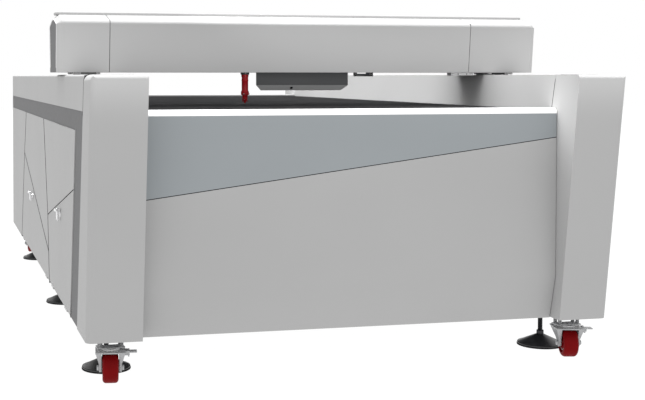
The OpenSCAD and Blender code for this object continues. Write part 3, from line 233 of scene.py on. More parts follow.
def piece(name, bm, slot, body, material=None, angle=35, stands_for=()):
    """Makes a piece from a bmesh, gives it its finish and lets it ride on a body."""
    bmesh.ops.recalc_face_normals(bm, faces=bm.faces)
    mesh = bpy.data.meshes.new(name)
    bm.to_mesh(mesh)
    bm.free()
    mesh.materials.append(M[material or slot])
    smooth(mesh, angle)
    obj = bpy.data.objects.new(name, mesh)
    bpy.context.scene.collection.objects.link(obj)
    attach(obj, body)
    if stands_for:
        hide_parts(*stands_for)
    return obj


def softened(node, width, segments=2, material=None, top=None):
    """A copy of a CAD node with rounded edges, which takes its place; top is a lighter material for the faces that
    look up, which paints in the light from above.
    """
    bm = bmesh.new()
    bm.from_mesh(NODES[node].data)
    bmesh.ops.remove_doubles(bm, verts=bm.verts, dist=1e-6)
    flat, crease = radians(0.6), radians(28)
    bmesh.ops.dissolve_limit(bm, angle_limit=flat, verts=bm.verts, edges=bm.edges)
    sharp = [e for e in bm.edges if len(e.link_faces) == 2 and e.calc_face_angle() > crease]
    bmesh.ops.bevel(bm, geom=sharp, offset=width, segments=segments, profile=0.5, affect="EDGES",
                    clamp_overlap=True)
    bmesh.ops.triangulate(bm, faces=[f for f in bm.faces if len(f.verts) > 4])
    shell = piece(node + "_shell", bm, SLOT_OF[node], BODY_OF[node], material, 50, (node,))
    # Large faces keep their own normals, so that they look flat beside the rounded edges
    shell.modifiers.new("flat_faces", "WEIGHTED_NORMAL").keep_sharp = True
    # Faces that look up take the second material: painted light from above
    if top:
        shell.data.materials.append(M[top])
        for polygon in shell.data.polygons:
            polygon.material_index = int(polygon.normal.z > 0.9)


# ---------------------------------------------------------------- shapes

AXES = {"X": Matrix.Rotation(pi / 2, 4, "Y"), "Y": Matrix.Rotation(-pi / 2, 4, "X"), "Z": Matrix.Identity(4)}


def facing(axis, out):
    """The turn that lays a turned shape along an axis, or against it where out is negative."""
    return AXES[axis] @ (Matrix.Identity(4) if out > 0 else Matrix.Rotation(pi, 4, "X"))


def turned_to(direction):
    """The turn that lays a turned shape along a direction."""
    return direction.to_track_quat("Z", "Y").to_matrix().to_4x4()


def lathe(bm, profile, centre, axis="Z", steps=24):
    """Turns points of radius and height about an axis through centre; axis is a letter or a turn."""
    turn = Matrix.Translation(centre) @ (AXES[axis] if isinstance(axis, str) else axis)
    rings = []
    for r, h in profile:
        if r < 1e-7:
            rings.append([bm.verts.new(turn @ Vector((0, 0, h)))])
        else:
            angles = (2 * pi * i / steps for i in range(steps))
            rings.append([bm.verts.new(turn @ Vector((r * cos(a), r * sin(a), h))) for a in angles])
    for low, high in zip(rings, rings[1:]):
        for i in range(steps):
            j = (i + 1) % steps
            if len(low) == 1 and len(high) > 1:
                bm.faces.new((low[0], high[j], high[i]))
            elif len(high) == 1 and len(low) > 1:
                bm.faces.new((low[i], low[j], high[0]))
            elif len(low) > 1:
                bm.faces.new((low[i], low[j], high[j], high[i]))


def disc(bm, centre, r, h, axis, edge, steps, start=0.0):
    """A short turned disc with rounded rims, from start to start + h along the axis."""
    lathe(bm, [(0, start), (r - edge, start), (r, start + edge), (r, start + h - edge), (r - edge, start + h),
               (0, start + h)], centre, axis, steps)


def ring(bm, centre, r, tube, axis="Z", steps=32, around=10):
    """A torus: a bead, a grommet or a rolled edge; centre is a point, or a place in the room as a matrix."""
    turn = centre if isinstance(centre, Matrix) else Matrix.Translation(centre) @ AXES[axis]
    rows = []
    for i in range(steps):
        a = 2 * pi * i / steps
        rows.append([bm.verts.new(turn @ Vector(((r + tube * cos(b)) * cos(a), (r + tube * cos(b)) * sin(a),
                                                 tube * sin(b))))
                     for b in (2 * pi * k / around for k in range(around))])
    for i in range(steps):
        for k in range(around):
            m, n = (i + 1) % steps, (k + 1) % around
            bm.faces.new((rows[i][k], rows[m][k], rows[m][n], rows[i][n]))


def cuboid(bm, low, high, edge, segments=2):
    """A box with rounded edges."""
    made = bmesh.ops.create_cube(bm, size=1)["verts"]
    low, high = Vector(low), Vector(high)
    for v in made:
        v.co = Vector(low[i] + (v.co[i] + 0.5) * (high[i] - low[i]) for i in range(3))
    edges = list({e for v in made for e in v.link_edges})
    bmesh.ops.bevel(bm, geom=edges, offset=edge, segments=segments, profile=0.5, affect="EDGES")


def side_cuboid(bm, s, low, high, edge, segments=2):
    """A rounded box whose corners are given as on the right side, for either side."""
    near, far = sorted((s * low[0], s * high[0]))
    cuboid(bm, (near, *low[1:]), (far, *high[1:]), edge, segments)


def hexagon(bm, centre, across, h, axis="Z", start=0.0):
    """A hexagon nut or bolt head with chamfered corners; across is its width over the flats."""
    r = across / 2 / cos(pi / 6)
    c = 0.06 * across
    lathe(bm, [(0, start), (r - c, start), (r, start + c), (r, start + h - c), (r - c, start + h), (0, start + h)],
          centre, axis, 6)


def screw(bm, centre, r, axis, out=1):
    """A button head with a socket, standing on a face; out is -1 where the face looks back along the axis."""
    lathe(bm, [(r, 0), (r * 0.97, 0.25 * r), (0.75 * r, 0.52 * r), (0.45 * r, 0.6 * r), (0.42 * r, 0.3 * r),
               (0, 0.3 * r)], centre, facing(axis, out), 16)


def threads(bm, centre, r, low, high, pitch):
    """Ridges that look like the thread of a rod."""
    turns = int((high - low) / pitch)
    profile = [(0, low)]
    for k in range(turns):
        profile += [(r, low + k * pitch), (r + 0.35 * pitch, low + (k + 0.5) * pitch)]
    lathe(bm, profile + [(r, low + turns * pitch), (0, low + turns * pitch)], centre, steps=16)


def rounded_loop(corners, r):
    """Points of a closed outline whose corners are rounded in five steps."""
    points, steps = [], 5
    for i, b in enumerate(corners):
        a, c = Vector(corners[i - 1]), Vector(corners[(i + 1) % len(corners)])
        b = Vector(b)
        u, v = (a - b).normalized(), (c - b).normalized()
        half = u.angle(v) / 2
        cut = min(r / max(sin(half) / cos(half), 0.05), 0.45 * (a - b).length, 0.45 * (c - b).length)
        p, q = b + u * cut, b + v * cut
        for k in range(steps + 1):
            t = k / steps
            points.append((1 - t) ** 2 * p + 2 * t * (1 - t) * b + t * t * q)
    return points


def inset(corners, by):
    """Moves the sides of a convex, anticlockwise outline inwards, or outwards where by is negative."""
    lines = []
    for i, a in enumerate(corners):
        a, b = Vector(a), Vector(corners[(i + 1) % len(corners)])
        u = (b - a).normalized()
        lines.append((a + Vector((-u.y, u.x)) * by, u))
    moved = []
    for i, (p, u) in enumerate(lines):
        q, v = lines[i - 1]
        w = p - q
        moved.append(q + v * ((w.x * u.y - w.y * u.x) / (v.x * u.y - v.y * u.x)))
    return moved


def opened(loop):
    """The points of a closed outline as a run that leaves out its first side."""
    return loop[1:] + loop[:1]


def ribbon(bm, outer, inner, low, high, place, loop=False):
    """A bar between two runs of points, from low to high across them; place puts a point into the room."""
    rows = [[bm.verts.new(place(p, t)) for p in line] for t in (low, high) for line in (outer, inner)]
    n = len(outer)
    for a, b in ((0, 1), (1, 3), (3, 2), (2, 0)):
        for i in range(n if loop else n - 1):
            j = (i + 1) % n
            bm.faces.new((rows[a][i], rows[a][j], rows[b][j], rows[b][i]))
    if not loop:
        for i in (0, n - 1):
            bm.faces.new([rows[k][i] for k in (0, 1, 3, 2)])


def prism(bm, corners, by):
    """A flat outline in the room and its copy moved by a vector, joined."""
    low = [bm.verts.new(Vector(c)) for c in corners]
    high = [bm.verts.new(Vector(c) + Vector(by)) for c in corners]
    bm.faces.new(low)
    bm.faces.new(high)
    for i in range(len(low)):
        j = (i + 1) % len(low)
        bm.faces.new((low[i], low[j], high[j], high[i]))


# ---------------------------------------------------------------- sizes repeated from the source

WALL_LOW, WALL_HIGH = box("wall_cover_right")
INNER, OUTER = WALL_LOW.x, WALL_HIGH.x
WALL_TOP, SKIRT = WALL_HIGH.z, WALL_LOW.z
FLOOR_GAP = box("side_bands")[0].z
GAP, SHEET, GROOVE = mm(2, 3, 2.5)
# How far the rubber beads in the joints of the sides stand proud
BEAD = 1.2 * MM
# The seam behind a tower: from its top at SEAM_TOP it leans back by SEAM_LEAN a metre on its way down
SEAM_TOP = WALL_LOW.y - GAP
SEAM_LEAN = 202 * MM / (WALL_TOP - FLOOR_GAP)

# The doors of a side as outlines of Y and Z, and the lines between the fixed sheets
FRONT_DOOR = [mm(-1154, 150), mm(-420, 150), mm(-360, 430), mm(-1263, 618)]
REAR_DOOR = [mm(-420, 150), mm(1055, 150), mm(850, 617), mm(-392.5, 279)]
BAND_FOOT = 826 * MM
GROOVES = [((735 * MM, BAND_FOOT), REAR_DOOR[2]), ((-193 * MM, BAND_FOOT), FRONT_DOOR[2]),
           (REAR_DOOR[3], FRONT_DOOR[2])]
HINGES = {"door_front_": mm(-1024, -550), "door_rear_": mm(-290, 925)}

# Swivel axes of the casters, how far the wheels trail behind them, their height, and the turn of the
# front ones in degrees
CASTER_X, CASTER_Y, TRAIL, HUB_Z = mm(835, 1480, 28, 50)
HEADINGS = {"left": -8, "right": -14}
# Underside of the casters' plates, and of the pads that the studs and feet are screwed to
PLATE, PAD = mm(111, 152)
FOOT_X = 824 * MM
FEET_Y = mm(-1312, -60, 1250)

# Underside of the gantry's covers, and how far its feet reach
GANTRY_FOOT = box("gantry_cover_middle")[0].z
FEET_FRONT, FEET_REAR = box("gantry_feet")[0].y, box("gantry_feet")[1].y
# Middles of the laser tube, the side motors, the exhaust ducts (and their radius) and the cable inlet
TUBE_Y, TUBE_Z = mm(-782, 1130)
MOTOR_Y, MOTOR_Z = mm(1590, 965)
DUCT_X, DUCT_Z, DUCT_R = mm(300, 700, 75)
INLET_X, INLET_Z = mm(560, 460)


def seam_y(z):
    """Where the seam behind a tower lies at a height."""
    return SEAM_TOP + (WALL_TOP - z) * SEAM_LEAN


# ---------------------------------------------------------------- covers and doors

def covers():
    """The sheet metal and castings that show, with their edges rounded."""
    for side in SIDES:
        for node in ("tower_front_", "wall_cover_", "rear_cap_", "side_panel_", "door_front_", "door_rear_"):
            softened(node + side, 0.7 * MM)
        for node in ("latch_front_", "latch_rear_"):
            softened(node + side, 1.2 * MM, 3)
        # Faces of the caster forks and pedals that look up take a lighter zinc: painted light from above
        for node in ("caster_fork_", "brake_pedal_"):
            softened(node + side, 0.6 * MM, material="zinc", top="painted_lit_zinc")
    for node in ("side_bands", "front_panel_upper", "front_panel_lower", "rear_panel", "gantry_cover_left",
                 "gantry_cover_middle", "gantry_cover_right", "gantry_lid", "gantry_end_plates"):
        softened(node, 0.7 * MM)
    # Faces of the caster mounts that look up take the lighter zinc too: painted light from above
    softened("caster_mounts", 0.6 * MM, material="zinc", top="painted_lit_zinc")


def tower_seams():
    """Gaskets in the seams between the towers and the wall covers, sunk at the rounded corners, near black as painted
    shade in the seams.
    """
    corner, play = mm(22, 0.2)
    outline = [(INNER, SKIRT), (OUTER, SKIRT), (OUTER, WALL_TOP), (INNER, WALL_TOP)]
    outer, inner = (rounded_loop(inset(outline, by), corner - by) for by in mm(-0.6, 5))
    for side, s in SIDES.items():
        bm = bmesh.new()
        ribbon(bm, outer, inner, play, GAP - play, lambda p, t: (s * p[0], seam_y(p[1]) + t, p[1]), loop=True)
        piece("tower_shade_gasket_" + side, bm, "belt_rubber", "base", "black_and_painted_shade")


def gantry_seams():
    """Gaskets in the two seams of the gantry covers, near black as painted shade in the seams, and near-white trims
    round its end faces, a painted highlight on their edges.
    """
    low, high = box("gantry_cover_middle")
    # How far the outline's foot, shoulders and deck lie inside the box
    tuck, rise, deck, play = mm(20, 25, 108, 0.2)
    shoulder = high.z - rise
    outline = [(low.y + tuck, low.z), (high.y - tuck, low.z), (high.y, shoulder), (high.y - deck, high.z),
               (low.y + deck, high.z), (low.y, shoulder)]
    outer, inner = (opened(inset(outline, by)) for by in mm(0.6, 5))
    for side, x in (("left", low.x - GAP), ("right", high.x)):
        bm = bmesh.new()
        ribbon(bm, outer, inner, x + play, x + GAP - play, lambda p, t: (t, p[0], p[1]))
        piece("gantry_shade_gasket_" + side, bm, "belt_rubber", "gantry", "black_and_painted_shade")
    # The end trims are near white: a painted highlight along the edges of the end faces
    end = box("gantry_cover_right")[1].x
    outer, inner = (opened(inset(outline, by)) for by in mm(15.5, 19.5))
    for side, s in SIDES.items():
        bm = bmesh.new()
        ribbon(bm, outer, inner, end - 2 * MM, end + 0.6 * MM, lambda p, t: (s * t, p[0], p[1]))
        piece("end_highlight_trim_" + side, bm, "light_grey_paint", "gantry", "white_and_painted_highlight")


def door_shade_gaskets():
    """Gaskets on the ledges round the doors, and sealant in the grooves between the fixed sheets, near black as
    painted shade in the gaps and grooves.
    """
    ledge = OUTER - SHEET - 0.5 * MM
    depth = 1.5 * MM
    # The front door has none along the leg of the band
    runs = ((FRONT_DOOR, lambda loop: loop[1:]), (REAR_DOOR, opened))
    for side, s in SIDES.items():
        bm = bmesh.new()
        for outline, run in runs:
            outer, inner = (run(inset(outline, by)) for by in (-0.4 * MM, GAP - 0.3 * MM))
            ribbon(bm, outer, inner, ledge, OUTER + BEAD, lambda p, t: (s * t, p[0], p[1]))
        for start, end in GROOVES:
            start, end = Vector(start), Vector(end)
            n = Vector((start.y - end.y, end.x - start.x)).normalized() * GROOVE / 2
            corners = (start - n, end - n, end + n, start + n)
            prism(bm, [(s * (OUTER - depth), p.x, p.y) for p in corners], (s * (depth + BEAD), 0, 0))
        piece("door_shade_gaskets_" + side, bm, "belt_rubber", "base", "black_and_painted_shade")


def hinge_screws():
    """Three screws on the leaf of each door hinge."""
    for side, s in SIDES.items():
        for door, places in HINGES.items():
            bm = bmesh.new()
            for y in places:
                for step in mm(-16, 0, 16):
                    screw(bm, (s * OUTER, y + step, FLOOR_GAP + 20 * MM), 3 * MM, "X", s)
            piece(door + "screws_" + side, bm, "steel", door + side, "zinc")


def latch_handles():
    """A bright wing across the lever of each door latch, and a rib down it, to turn it by hand."""
    rosette, wing_half, wing_tall, wing_out, rib_half = mm(13, 17, 9, 12, 5)
    for side, s in SIDES.items():
        for latch in ("latch_front_", "latch_rear_"):
            low, high = box(latch + side)
            face = max(abs(low.x), abs(high.x))
            mid = low.y + rosette
            bm = bmesh.new()
            for half, foot, top, out in ((wing_half, high.z - wing_tall, high.z, wing_out),
                                         (rib_half, low.z + 4 * MM, high.z - 1 * MM, 0.4 * wing_out)):
                side_cuboid(bm, s, (face - 1 * MM, mid - half, foot), (face + out, mid + half, top), 2 * MM, 3)
            piece(latch + "handle_" + side, bm, "chrome", latch + side)


def split_line():
    """Sealant in the slanting gap between the two front sheets, near black as painted shade in the gap."""
    low, high = box("front_panel_lower")
    left, right, sunk, depth = mm(604, 796, 1.2, 1.5)
    rise = (right - left) / (2 * INNER)
    bm = bmesh.new()
    corners = [(x, low.y + sunk, left + (x + INNER) * rise + end * GROOVE / 2)
               for x, end in ((low.x, -1), (high.x, -1), (high.x, 1), (low.x, 1))]
    prism(bm, corners, (0, depth, 0))
    piece("split_line_shade_sealant", bm, "belt_rubber", "base", "black_and_painted_shade")


def lip_highlights():
    """A near-white edge profile over the rounded lip of each end panel: a painted highlight where the lip catches the
    light from above.
    """
    low, high = box("front_panel_upper")
    r, thick = mm(19, 0.6)
    turns = [radians(k * 10) for k in range(10)]
    for end, s in (("front", -1), ("rear", 1)):
        mid_y, mid_z = s * (-low.y - r), high.z - r
        outer, inner = ([(-s * high.y, high.z + grow)] +
                        [(mid_y + s * (r + grow) * sin(a), mid_z + (r + grow) * cos(a)) for a in turns]
                        for grow in (thick, -thick))
        bm = bmesh.new()
        ribbon(bm, outer, inner, low.x, high.x, lambda p, x: (x, p[0], p[1]))
        piece("lip_highlight_trim_" + end, bm, "light_grey_paint", "base", "white_and_painted_highlight")


# ---------------------------------------------------------------- under the gantry

def belly():
    """The dark housing under the gantry, narrower towards its rear, a lighter strip on its lower front chamfer, which
    paints in the light that the chamfer gets from the floor, and a plug in it.
    """
    low, high = box("belly_housing")
    beam_low, beam_high = box("gantry_beam")
    rise, cut, taper, tall, edge = mm(20, 24, 55, 69, 1.2)
    top = low.z + tall
    slant = taper / (high.y - low.y)
    rows = []
    bm = bmesh.new()
    for z, inner, back in ((top, 0, 0), (low.z + rise, 0, 0), (low.z, cut, rise)):
        front, rear = low.y + back, high.y - back
        rows.append([bm.verts.new((s * (high.x - inner - (y - front) * slant), y, z))
                     for s, y in ((-1, front), (1, front), (1, rear), (-1, rear))])
    bm.faces.new(rows[0])
    bm.faces.new(rows[-1])
    for a, b in zip(rows, rows[1:]):
        for i in range(4):
            j = (i + 1) % 4
            bm.faces.new((a[i], a[j], b[j], b[i]))
    bmesh.ops.bevel(bm, geom=list(bm.edges), offset=edge, segments=2, profile=0.5, affect="EDGES")
    # The neck that holds the housing to the beam
    cuboid(bm, (0.8 * low.x, beam_low.y + 5 * MM, top - 1 * MM), (0.8 * high.x, beam_high.y - 5 * MM, high.z), 1 * MM)
    piece("belly_case", bm, "dark_grey_paint", "gantry", "belly_paint", stands_for=("belly_housing",))
    # The strip over the chamfer's front facet is a lighter grey: painted light from the floor below
    out = Vector((0, -1, -1)).normalized()
    bm = bmesh.new()
    strip = ((low.x + 1 * MM, low.y, low.z + rise), (high.x - 1 * MM, low.y, low.z + rise),
             (high.x - cut, low.y + rise, low.z), (low.x + cut, low.y + rise, low.z))
    prism(bm, [Vector(c) + out * 0.1 * MM for c in strip], out * 0.5 * MM)
    piece("belly_strip", bm, "dark_grey_paint", "gantry", "painted_lit_grey")
    bm = bmesh.new()
    place = Matrix.Translation((-42 * MM, low.y + rise / 2, low.z + rise / 2)) @ turned_to(out)
    lathe(bm, [mm(0, 0), mm(6, 0.4), mm(6, 1.4), mm(5, 2), mm(0, 2)], (0, 0, 0), place)
    piece("belly_plug", bm, "black_metal", "gantry", "black_and_painted_shade")


def cutting_head():
    """The barrel, its nozzle with sensor pins, the clamp ring on the carriage and the small screws."""
    low, high = box("lens_barrel")
    x, y, tip = (low.x + high.x) / 2, (low.y + high.y) / 2, low.z

    def turned(name, profile, stands_for=()):
        """A red piece turned about the barrel's axis, from radii and heights over the tip in millimetres."""
        bm = bmesh.new()
        lathe(bm, [(r * MM, tip + h * MM) for r, h in profile], (x, y, 0), steps=48)
        piece(name, bm, "red_paint", "barrel", stands_for=stands_for)

    turned("barrel_tube", [(0, 30), (11, 30), (13, 31), (15, 32), (15.5, 33), (15.5, 37), (15, 37.8), (15, 38.6),
                           (15.5, 39.4), (15.5, 43), (15, 44), (13.2, 47), (12.6, 49), (12.6, 84), (13.2, 85),
                           (13.2, 88), (12.6, 89), (12.6, 100), (13.9, 101), (13.9, 158), (0, 158)],
           ("lens_barrel",))
    turned("nozzle", [(0, 1), (1.2, 0), (3, 0), (3.6, 1), (4.4, 5), (6.4, 10), (7.4, 12), (7.8, 16), (7.8, 19),
                      (7.2, 20), (7.2, 21), (7.8, 22), (8.4, 26), (11, 29), (11, 31), (0, 31)])
    bm = bmesh.new()
    for k in range(4):
        a = radians(57 + 90 * k)
        lathe(bm, [mm(0, 4), mm(1, 4), mm(1.7, 5), mm(1.7, 31), mm(0, 31)],
              (x + 8.6 * MM * cos(a), y + 8.6 * MM * sin(a), tip), steps=12)
    piece("nozzle_sensor_pins", bm, "red_paint", "barrel")

    foot, top, pin_top = tip + 109 * MM, tip + 119 * MM, tip + 124.5 * MM
    bore, rim, edge, pin_r = mm(14.3, 16.8, 1, 1.5)
    chamfered = rim - 0.6 * MM
    bm = bmesh.new()
    lathe(bm, [(bore, foot), (chamfered, foot), (rim, foot + edge), (rim, top - edge), (chamfered, top),
               (bore, top), (bore, foot)], (x, y, 0), steps=48)
    for k in range(3):
        a = 2 * pi * k / 3
        lathe(bm, [(0, top - edge), (pin_r, top - edge), (pin_r, pin_top), (0, pin_top)],
              (x + 15.6 * MM * cos(a), y + 15.6 * MM * sin(a), 0), steps=10)
    piece("barrel_clamp_ring", bm, "black_metal", "head")

    bm = bmesh.new()
    for k in range(3):
        a = radians(120 * (k + 1))
        out = Vector((cos(a), sin(a), 0))
        for profile, height, r, steps in (
                ([mm(0, 0), mm(1.5, 0), mm(1.5, 5.5), mm(1, 6.2), mm(0, 6.2)], 13.5 * MM, 5 * MM, 12),
                ([mm(0, 0), mm(2.6, 0), mm(2.6, 3), mm(2, 3.6), mm(0, 3.6)], 35 * MM, 14.6 * MM, 16)):
            place = Matrix.Translation(Vector((x, y, tip + height)) + out * r) @ turned_to(out)
            lathe(bm, profile, (0, 0, 0), place, steps)
    piece("nozzle_screws", bm, "steel", "barrel")


def foot_wipers():
    """Near-white blocks at both ends of the gantry's feet, which sweep the wall tops; painted light, so that they
    show bright in the shade under the gantry.
    """
    proud = 0.4 * MM
    for side, s in SIDES.items():
        bm = bmesh.new()
        for near, far in (mm(862, 896.4), mm(789.6, 804)):
            side_cuboid(bm, s, (near, FEET_FRONT - proud, WALL_TOP + 2.2 * MM),
                        (far, FEET_REAR + proud, GANTRY_FOOT - 0.1 * MM), 0.5 * MM)
        piece("foot_wipers_" + side, bm, "dark_grey_paint", "gantry", "white_and_painted_highlight")


def small_fittings():
    """The black guard round the limit switch, and the light block left of the right foot."""
    left, right, foot, leg, front, rear = mm(227.4, 303, 1010, 7.6, -922, -900)
    bm = bmesh.new()
    for near, far, top in ((left, right, foot + 6 * MM), (left, left + leg, GANTRY_FOOT + 1 * MM),
                           (right - leg, right, GANTRY_FOOT + 1 * MM)):
        cuboid(bm, (near, front, foot), (far, rear, top), 0.8 * MM)
    piece("limit_switch_guard", bm, "black_metal", "gantry")

    left, right, foot, proud = mm(628, 725, 1013.5, 0.4)
    front, top = FEET_FRONT - proud, GANTRY_FOOT - 0.1 * MM
    bm = bmesh.new()
    cuboid(bm, (left, front, foot), (right, front + 40 * MM, top), 1 * MM)
    piece("sensor_block", bm, "light_grey_paint", "gantry", "white_and_painted_highlight")
    bm = bmesh.new()
    for x in mm(658, 695):
        disc(bm, (x, front - proud, (foot + top) / 2), 2.2 * MM, 1 * MM, "Y", 0.3 * MM, 16)
    piece("sensor_block_screws", bm, "black_metal", "gantry", "black_and_painted_shade")


def laser_tube():
    """The inner tube and cooling rings of the laser tube, and the collars at its ends."""
    low, high = box("laser_tube")
    length = high.x - low.x
    reach, inner_r = 0.44 * length, 9 * MM
    bm = bmesh.new()
    lathe(bm, [(0, -reach), (inner_r, -reach), (inner_r, reach), (0, reach)], (0, TUBE_Y, TUBE_Z), "X", 32)
    for k in range(-3, 4):
        disc(bm, (k * 0.13 * length, TUBE_Y, TUBE_Z), 20 * MM, 3 * MM, "X", 0.8 * MM, 32, -1.5 * MM)
    piece("discharge_tube", bm, "tube_glass", "gantry", "milky_glass")
    bm = bmesh.new()
    for s in (-1, 1):
        collar, cap = s * (length / 2 - 26 * MM), s * (length / 2 - 8 * MM)
        disc(bm, (collar, TUBE_Y, TUBE_Z), 31 * MM, 12 * MM, "X", 1.5 * MM, 40, -12 * MM if s > 0 else 0)
        disc(bm, (cap, TUBE_Y, TUBE_Z), 15 * MM, 6 * MM, "X", 1 * MM, 32, -3 * MM)
    piece("tube_collars", bm, "steel", "gantry", "brass")


# ---------------------------------------------------------------- running gear

def caster_place(side, front):
    """The swivel axis of a caster on the floor, turned to where it points."""
    place = Matrix.Translation((SIDES[side] * CASTER_X, -CASTER_Y if front else CASTER_Y, 0))
    return place @ (Matrix.Rotation(radians(HEADINGS[side]), 4, "Z") if front else Matrix.Rotation(pi, 4, "Z"))


def casters():
    """Axle nuts, hub washers and covers, threaded studs and, in front, the race under each plate."""
    stud_x, stud_y = mm(35, 16)
    # How far these lie from the middle of the hub
    washer_out, nut_out, cover_out, bead_out = mm(37.6, 39, 26.6, 21.8)
    for side in SIDES:
        for front in (True, False):
            end = ("front_" if front else "rear_") + side
            place = caster_place(side, front)
            hub = place @ Matrix.Translation((0, -TRAIL, HUB_Z))
            fork_body = "caster_fork_" + side if front else "base"
            bm = bmesh.new()
            for s in (-1, 1):
                washer = hub @ Matrix.Translation((s * washer_out, 0, 0)) @ facing("X", s)
                lathe(bm, [mm(0, 0), mm(8.6, 0), mm(9, 0.4), mm(9, 1.6), mm(0, 1.6)], (0, 0, 0), washer)
                nut = hub @ Matrix.Translation((s * nut_out, 0, 0)) @ facing("X", s)
                hexagon(bm, (0, 0, 0), 15 * MM, 6 * MM, nut)
            piece("axle_nuts_" + end, bm, "steel", fork_body, "zinc")
            bm = bmesh.new()
            for s in (-1, 1):
                cover = hub @ Matrix.Translation((s * cover_out, 0, 0)) @ facing("X", s)
                lathe(bm, [mm(6, 0), mm(11.5, 0), mm(12, 0.5), mm(9, 2.2), mm(6, 2.2)], (0, 0, 0), cover, 32)
                ring(bm, hub @ Matrix.Translation((s * bead_out, 0, 0)) @ AXES["X"], 25 * MM, 1.2 * MM)
            piece("hub_washers_" + end, bm, "steel", "wheel_" + end, "zinc")
            bm = bmesh.new()
            for a in (-stud_x, stud_x):
                for b in (-stud_y, stud_y):
                    at = place.translation + Vector((a, b, 0))
                    threads(bm, at, 6.1 * MM, PLATE + 5 * MM, PAD - 4 * MM, 2 * MM)
            piece("stud_threads_" + end, bm, "steel", "base", "zinc")
            if front:
                # The race is a near-white zinc: painted light in the shaded gap between the fork's crown and the
                # plate
                race = place @ Matrix.Translation((0, 0, PLATE - 5.7 * MM))
                bm = bmesh.new()
                disc(bm, (0, 0, 0), 31 * MM, 5.4 * MM, race, 1 * MM, 48)
                piece("swivel_race_" + side, bm, "steel", fork_body, "painted_lit_zinc")


def feet():
    """Threads, lock nuts and rubber soles of the levelling feet."""
    bead_z, bead_r = mm(10, 82.2)
    for side, s in SIDES.items():
        bm, sole = bmesh.new(), bmesh.new()
        for y in FEET_Y:
            at = Vector((s * FOOT_X, y, 0))
            threads(bm, at, 8.1 * MM, 56 * MM, PAD - 12 * MM, 3 * MM)
            hexagon(bm, at, 26 * MM, 12 * MM, start=PAD - 12 * MM)
            hexagon(bm, at, 26 * MM, 14 * MM, start=42 * MM)
            lathe(sole, [mm(81, 0.5), mm(84.5, 0.5), mm(85, 1.2), mm(85, 4.5), mm(84, 5.5), mm(81, 5.5),
                         mm(81, 0.5)], at, steps=64)
            ring(sole, Matrix.Translation(at + Vector((0, 0, bead_z))), bead_r, 1 * MM, steps=64)
        piece("foot_threads_" + side, bm, "steel", "base", "black_steel")
        piece("foot_soles_" + side, sole, "belt_rubber", "base")


# ---------------------------------------------------------------- motors, electrics and rear

def motor_details():
    """End bells, screws and plugs of the three motors."""
    out = box("y_motors")[1].x
    half_pitch, bell_r, bell_h = mm(22, 16, 3)
    for side, s in SIDES.items():
        bm = bmesh.new()
        for a in (-half_pitch, half_pitch):
            for b in (-half_pitch, half_pitch):
                screw(bm, (s * out, MOTOR_Y + a, MOTOR_Z + b), 3 * MM, "X", s)
        disc(bm, (s * out, MOTOR_Y, MOTOR_Z), bell_r, bell_h, "X", 0.8 * MM, 32, 0 if s > 0 else -bell_h)
        side_cuboid(bm, s, (out - 24 * MM, MOTOR_Y - 10 * MM, MOTOR_Z + 28 * MM),
                    (out - 6 * MM, MOTOR_Y + 10 * MM, MOTOR_Z + 36 * MM), 1 * MM)
        piece("motor_screws_" + side, bm, "steel", "base", "zinc")
    low, high = box("x_motor")
    mid, plug_half, edge = (low.x + high.x) / 2, 8 * MM, 5 * MM
    bm = bmesh.new()
    for x in (low.x + edge, high.x - edge):
        for y in (low.y + edge, high.y - edge):
            screw(bm, (x, y, low.z), 2.2 * MM, "Z", -1)
    cuboid(bm, (mid - plug_half, high.y, low.z + 6 * MM), (mid + plug_half, high.y + 5 * MM, low.z + 16 * MM),
           0.8 * MM)
    piece("cross_motor_screws", bm, "steel", "gantry", "zinc")


def power_supply():
    """Vents, a fan guard and screws on the front of the laser's power supply."""
    low, high = box("laser_power_supply")
    mid = (low.x + high.x) / 2
    fan_x, fan_z = mid + 62 * MM, low.z + 84 * MM
    proud = 0.4 * MM
    bm = bmesh.new()
    # The vent slats and the disc behind the fan guard are near black: painted shade of the openings
    for i in range(9):
        z = low.z + 46 * MM + i * 9.5 * MM
        cuboid(bm, (mid - 95 * MM, low.y - proud, z), (mid + 15 * MM, low.y + 2 * MM, z + 4 * MM), 0.3 * MM, 1)
    disc(bm, (fan_x, low.y - proud, fan_z), 34 * MM, 2 * MM, "Y", 0.4 * MM, 40)
    piece("supply_vents", bm, "black_metal", "base", "black_and_painted_shade")
    bm = bmesh.new()
    for r in mm(10, 18, 26, 34):
        ring(bm, Vector((fan_x, low.y - 1.6 * MM, fan_z)), r, 0.9 * MM, "Y", 36, 6)
    for a in mm(-108, 108):
        for b in mm(-45, 45):
            screw(bm, (mid + a, low.y, (low.z + high.z) / 2 + b), 3 * MM, "Y", -1)
    piece("supply_fan_guard", bm, "steel", "base", "zinc")


def control_unit():
    """A heat sink and a row of terminals for each of the four drives."""
    low, high = box("control_unit")
    drives = [(low.x + high.x) / 2 + (i - 1.5) * 65 * MM for i in range(4)]
    fin_pitch, fin_half, margin = mm(7, 1, 50)
    bm = bmesh.new()
    for x in drives:
        for k in range(-3, 4):
            fin = x + k * fin_pitch
            cuboid(bm, (fin - fin_half, low.y + margin, high.z - 0.2 * MM),
                   (fin + fin_half, high.y - margin, high.z + 9 * MM), 0.3 * MM, 1)
    piece("drive_heat_sinks", bm, "black_metal", "base")
    strip_half, strip_out, foot, top = mm(22, 7, 70, 84)
    bm = bmesh.new()
    for x in drives:
        cuboid(bm, (x - strip_half, low.y - strip_out, low.z + foot), (x + strip_half, low.y, low.z + top), 0.8 * MM)
        for k in range(-2, 3):
            disc(bm, (x + k * 8 * MM, low.y - strip_out - 0.6 * MM, low.z + (foot + top) / 2), 2.4 * MM, 1 * MM, "Y",
                 0.3 * MM, 12)
    piece("control_terminals", bm, "steel", "base", "zinc")


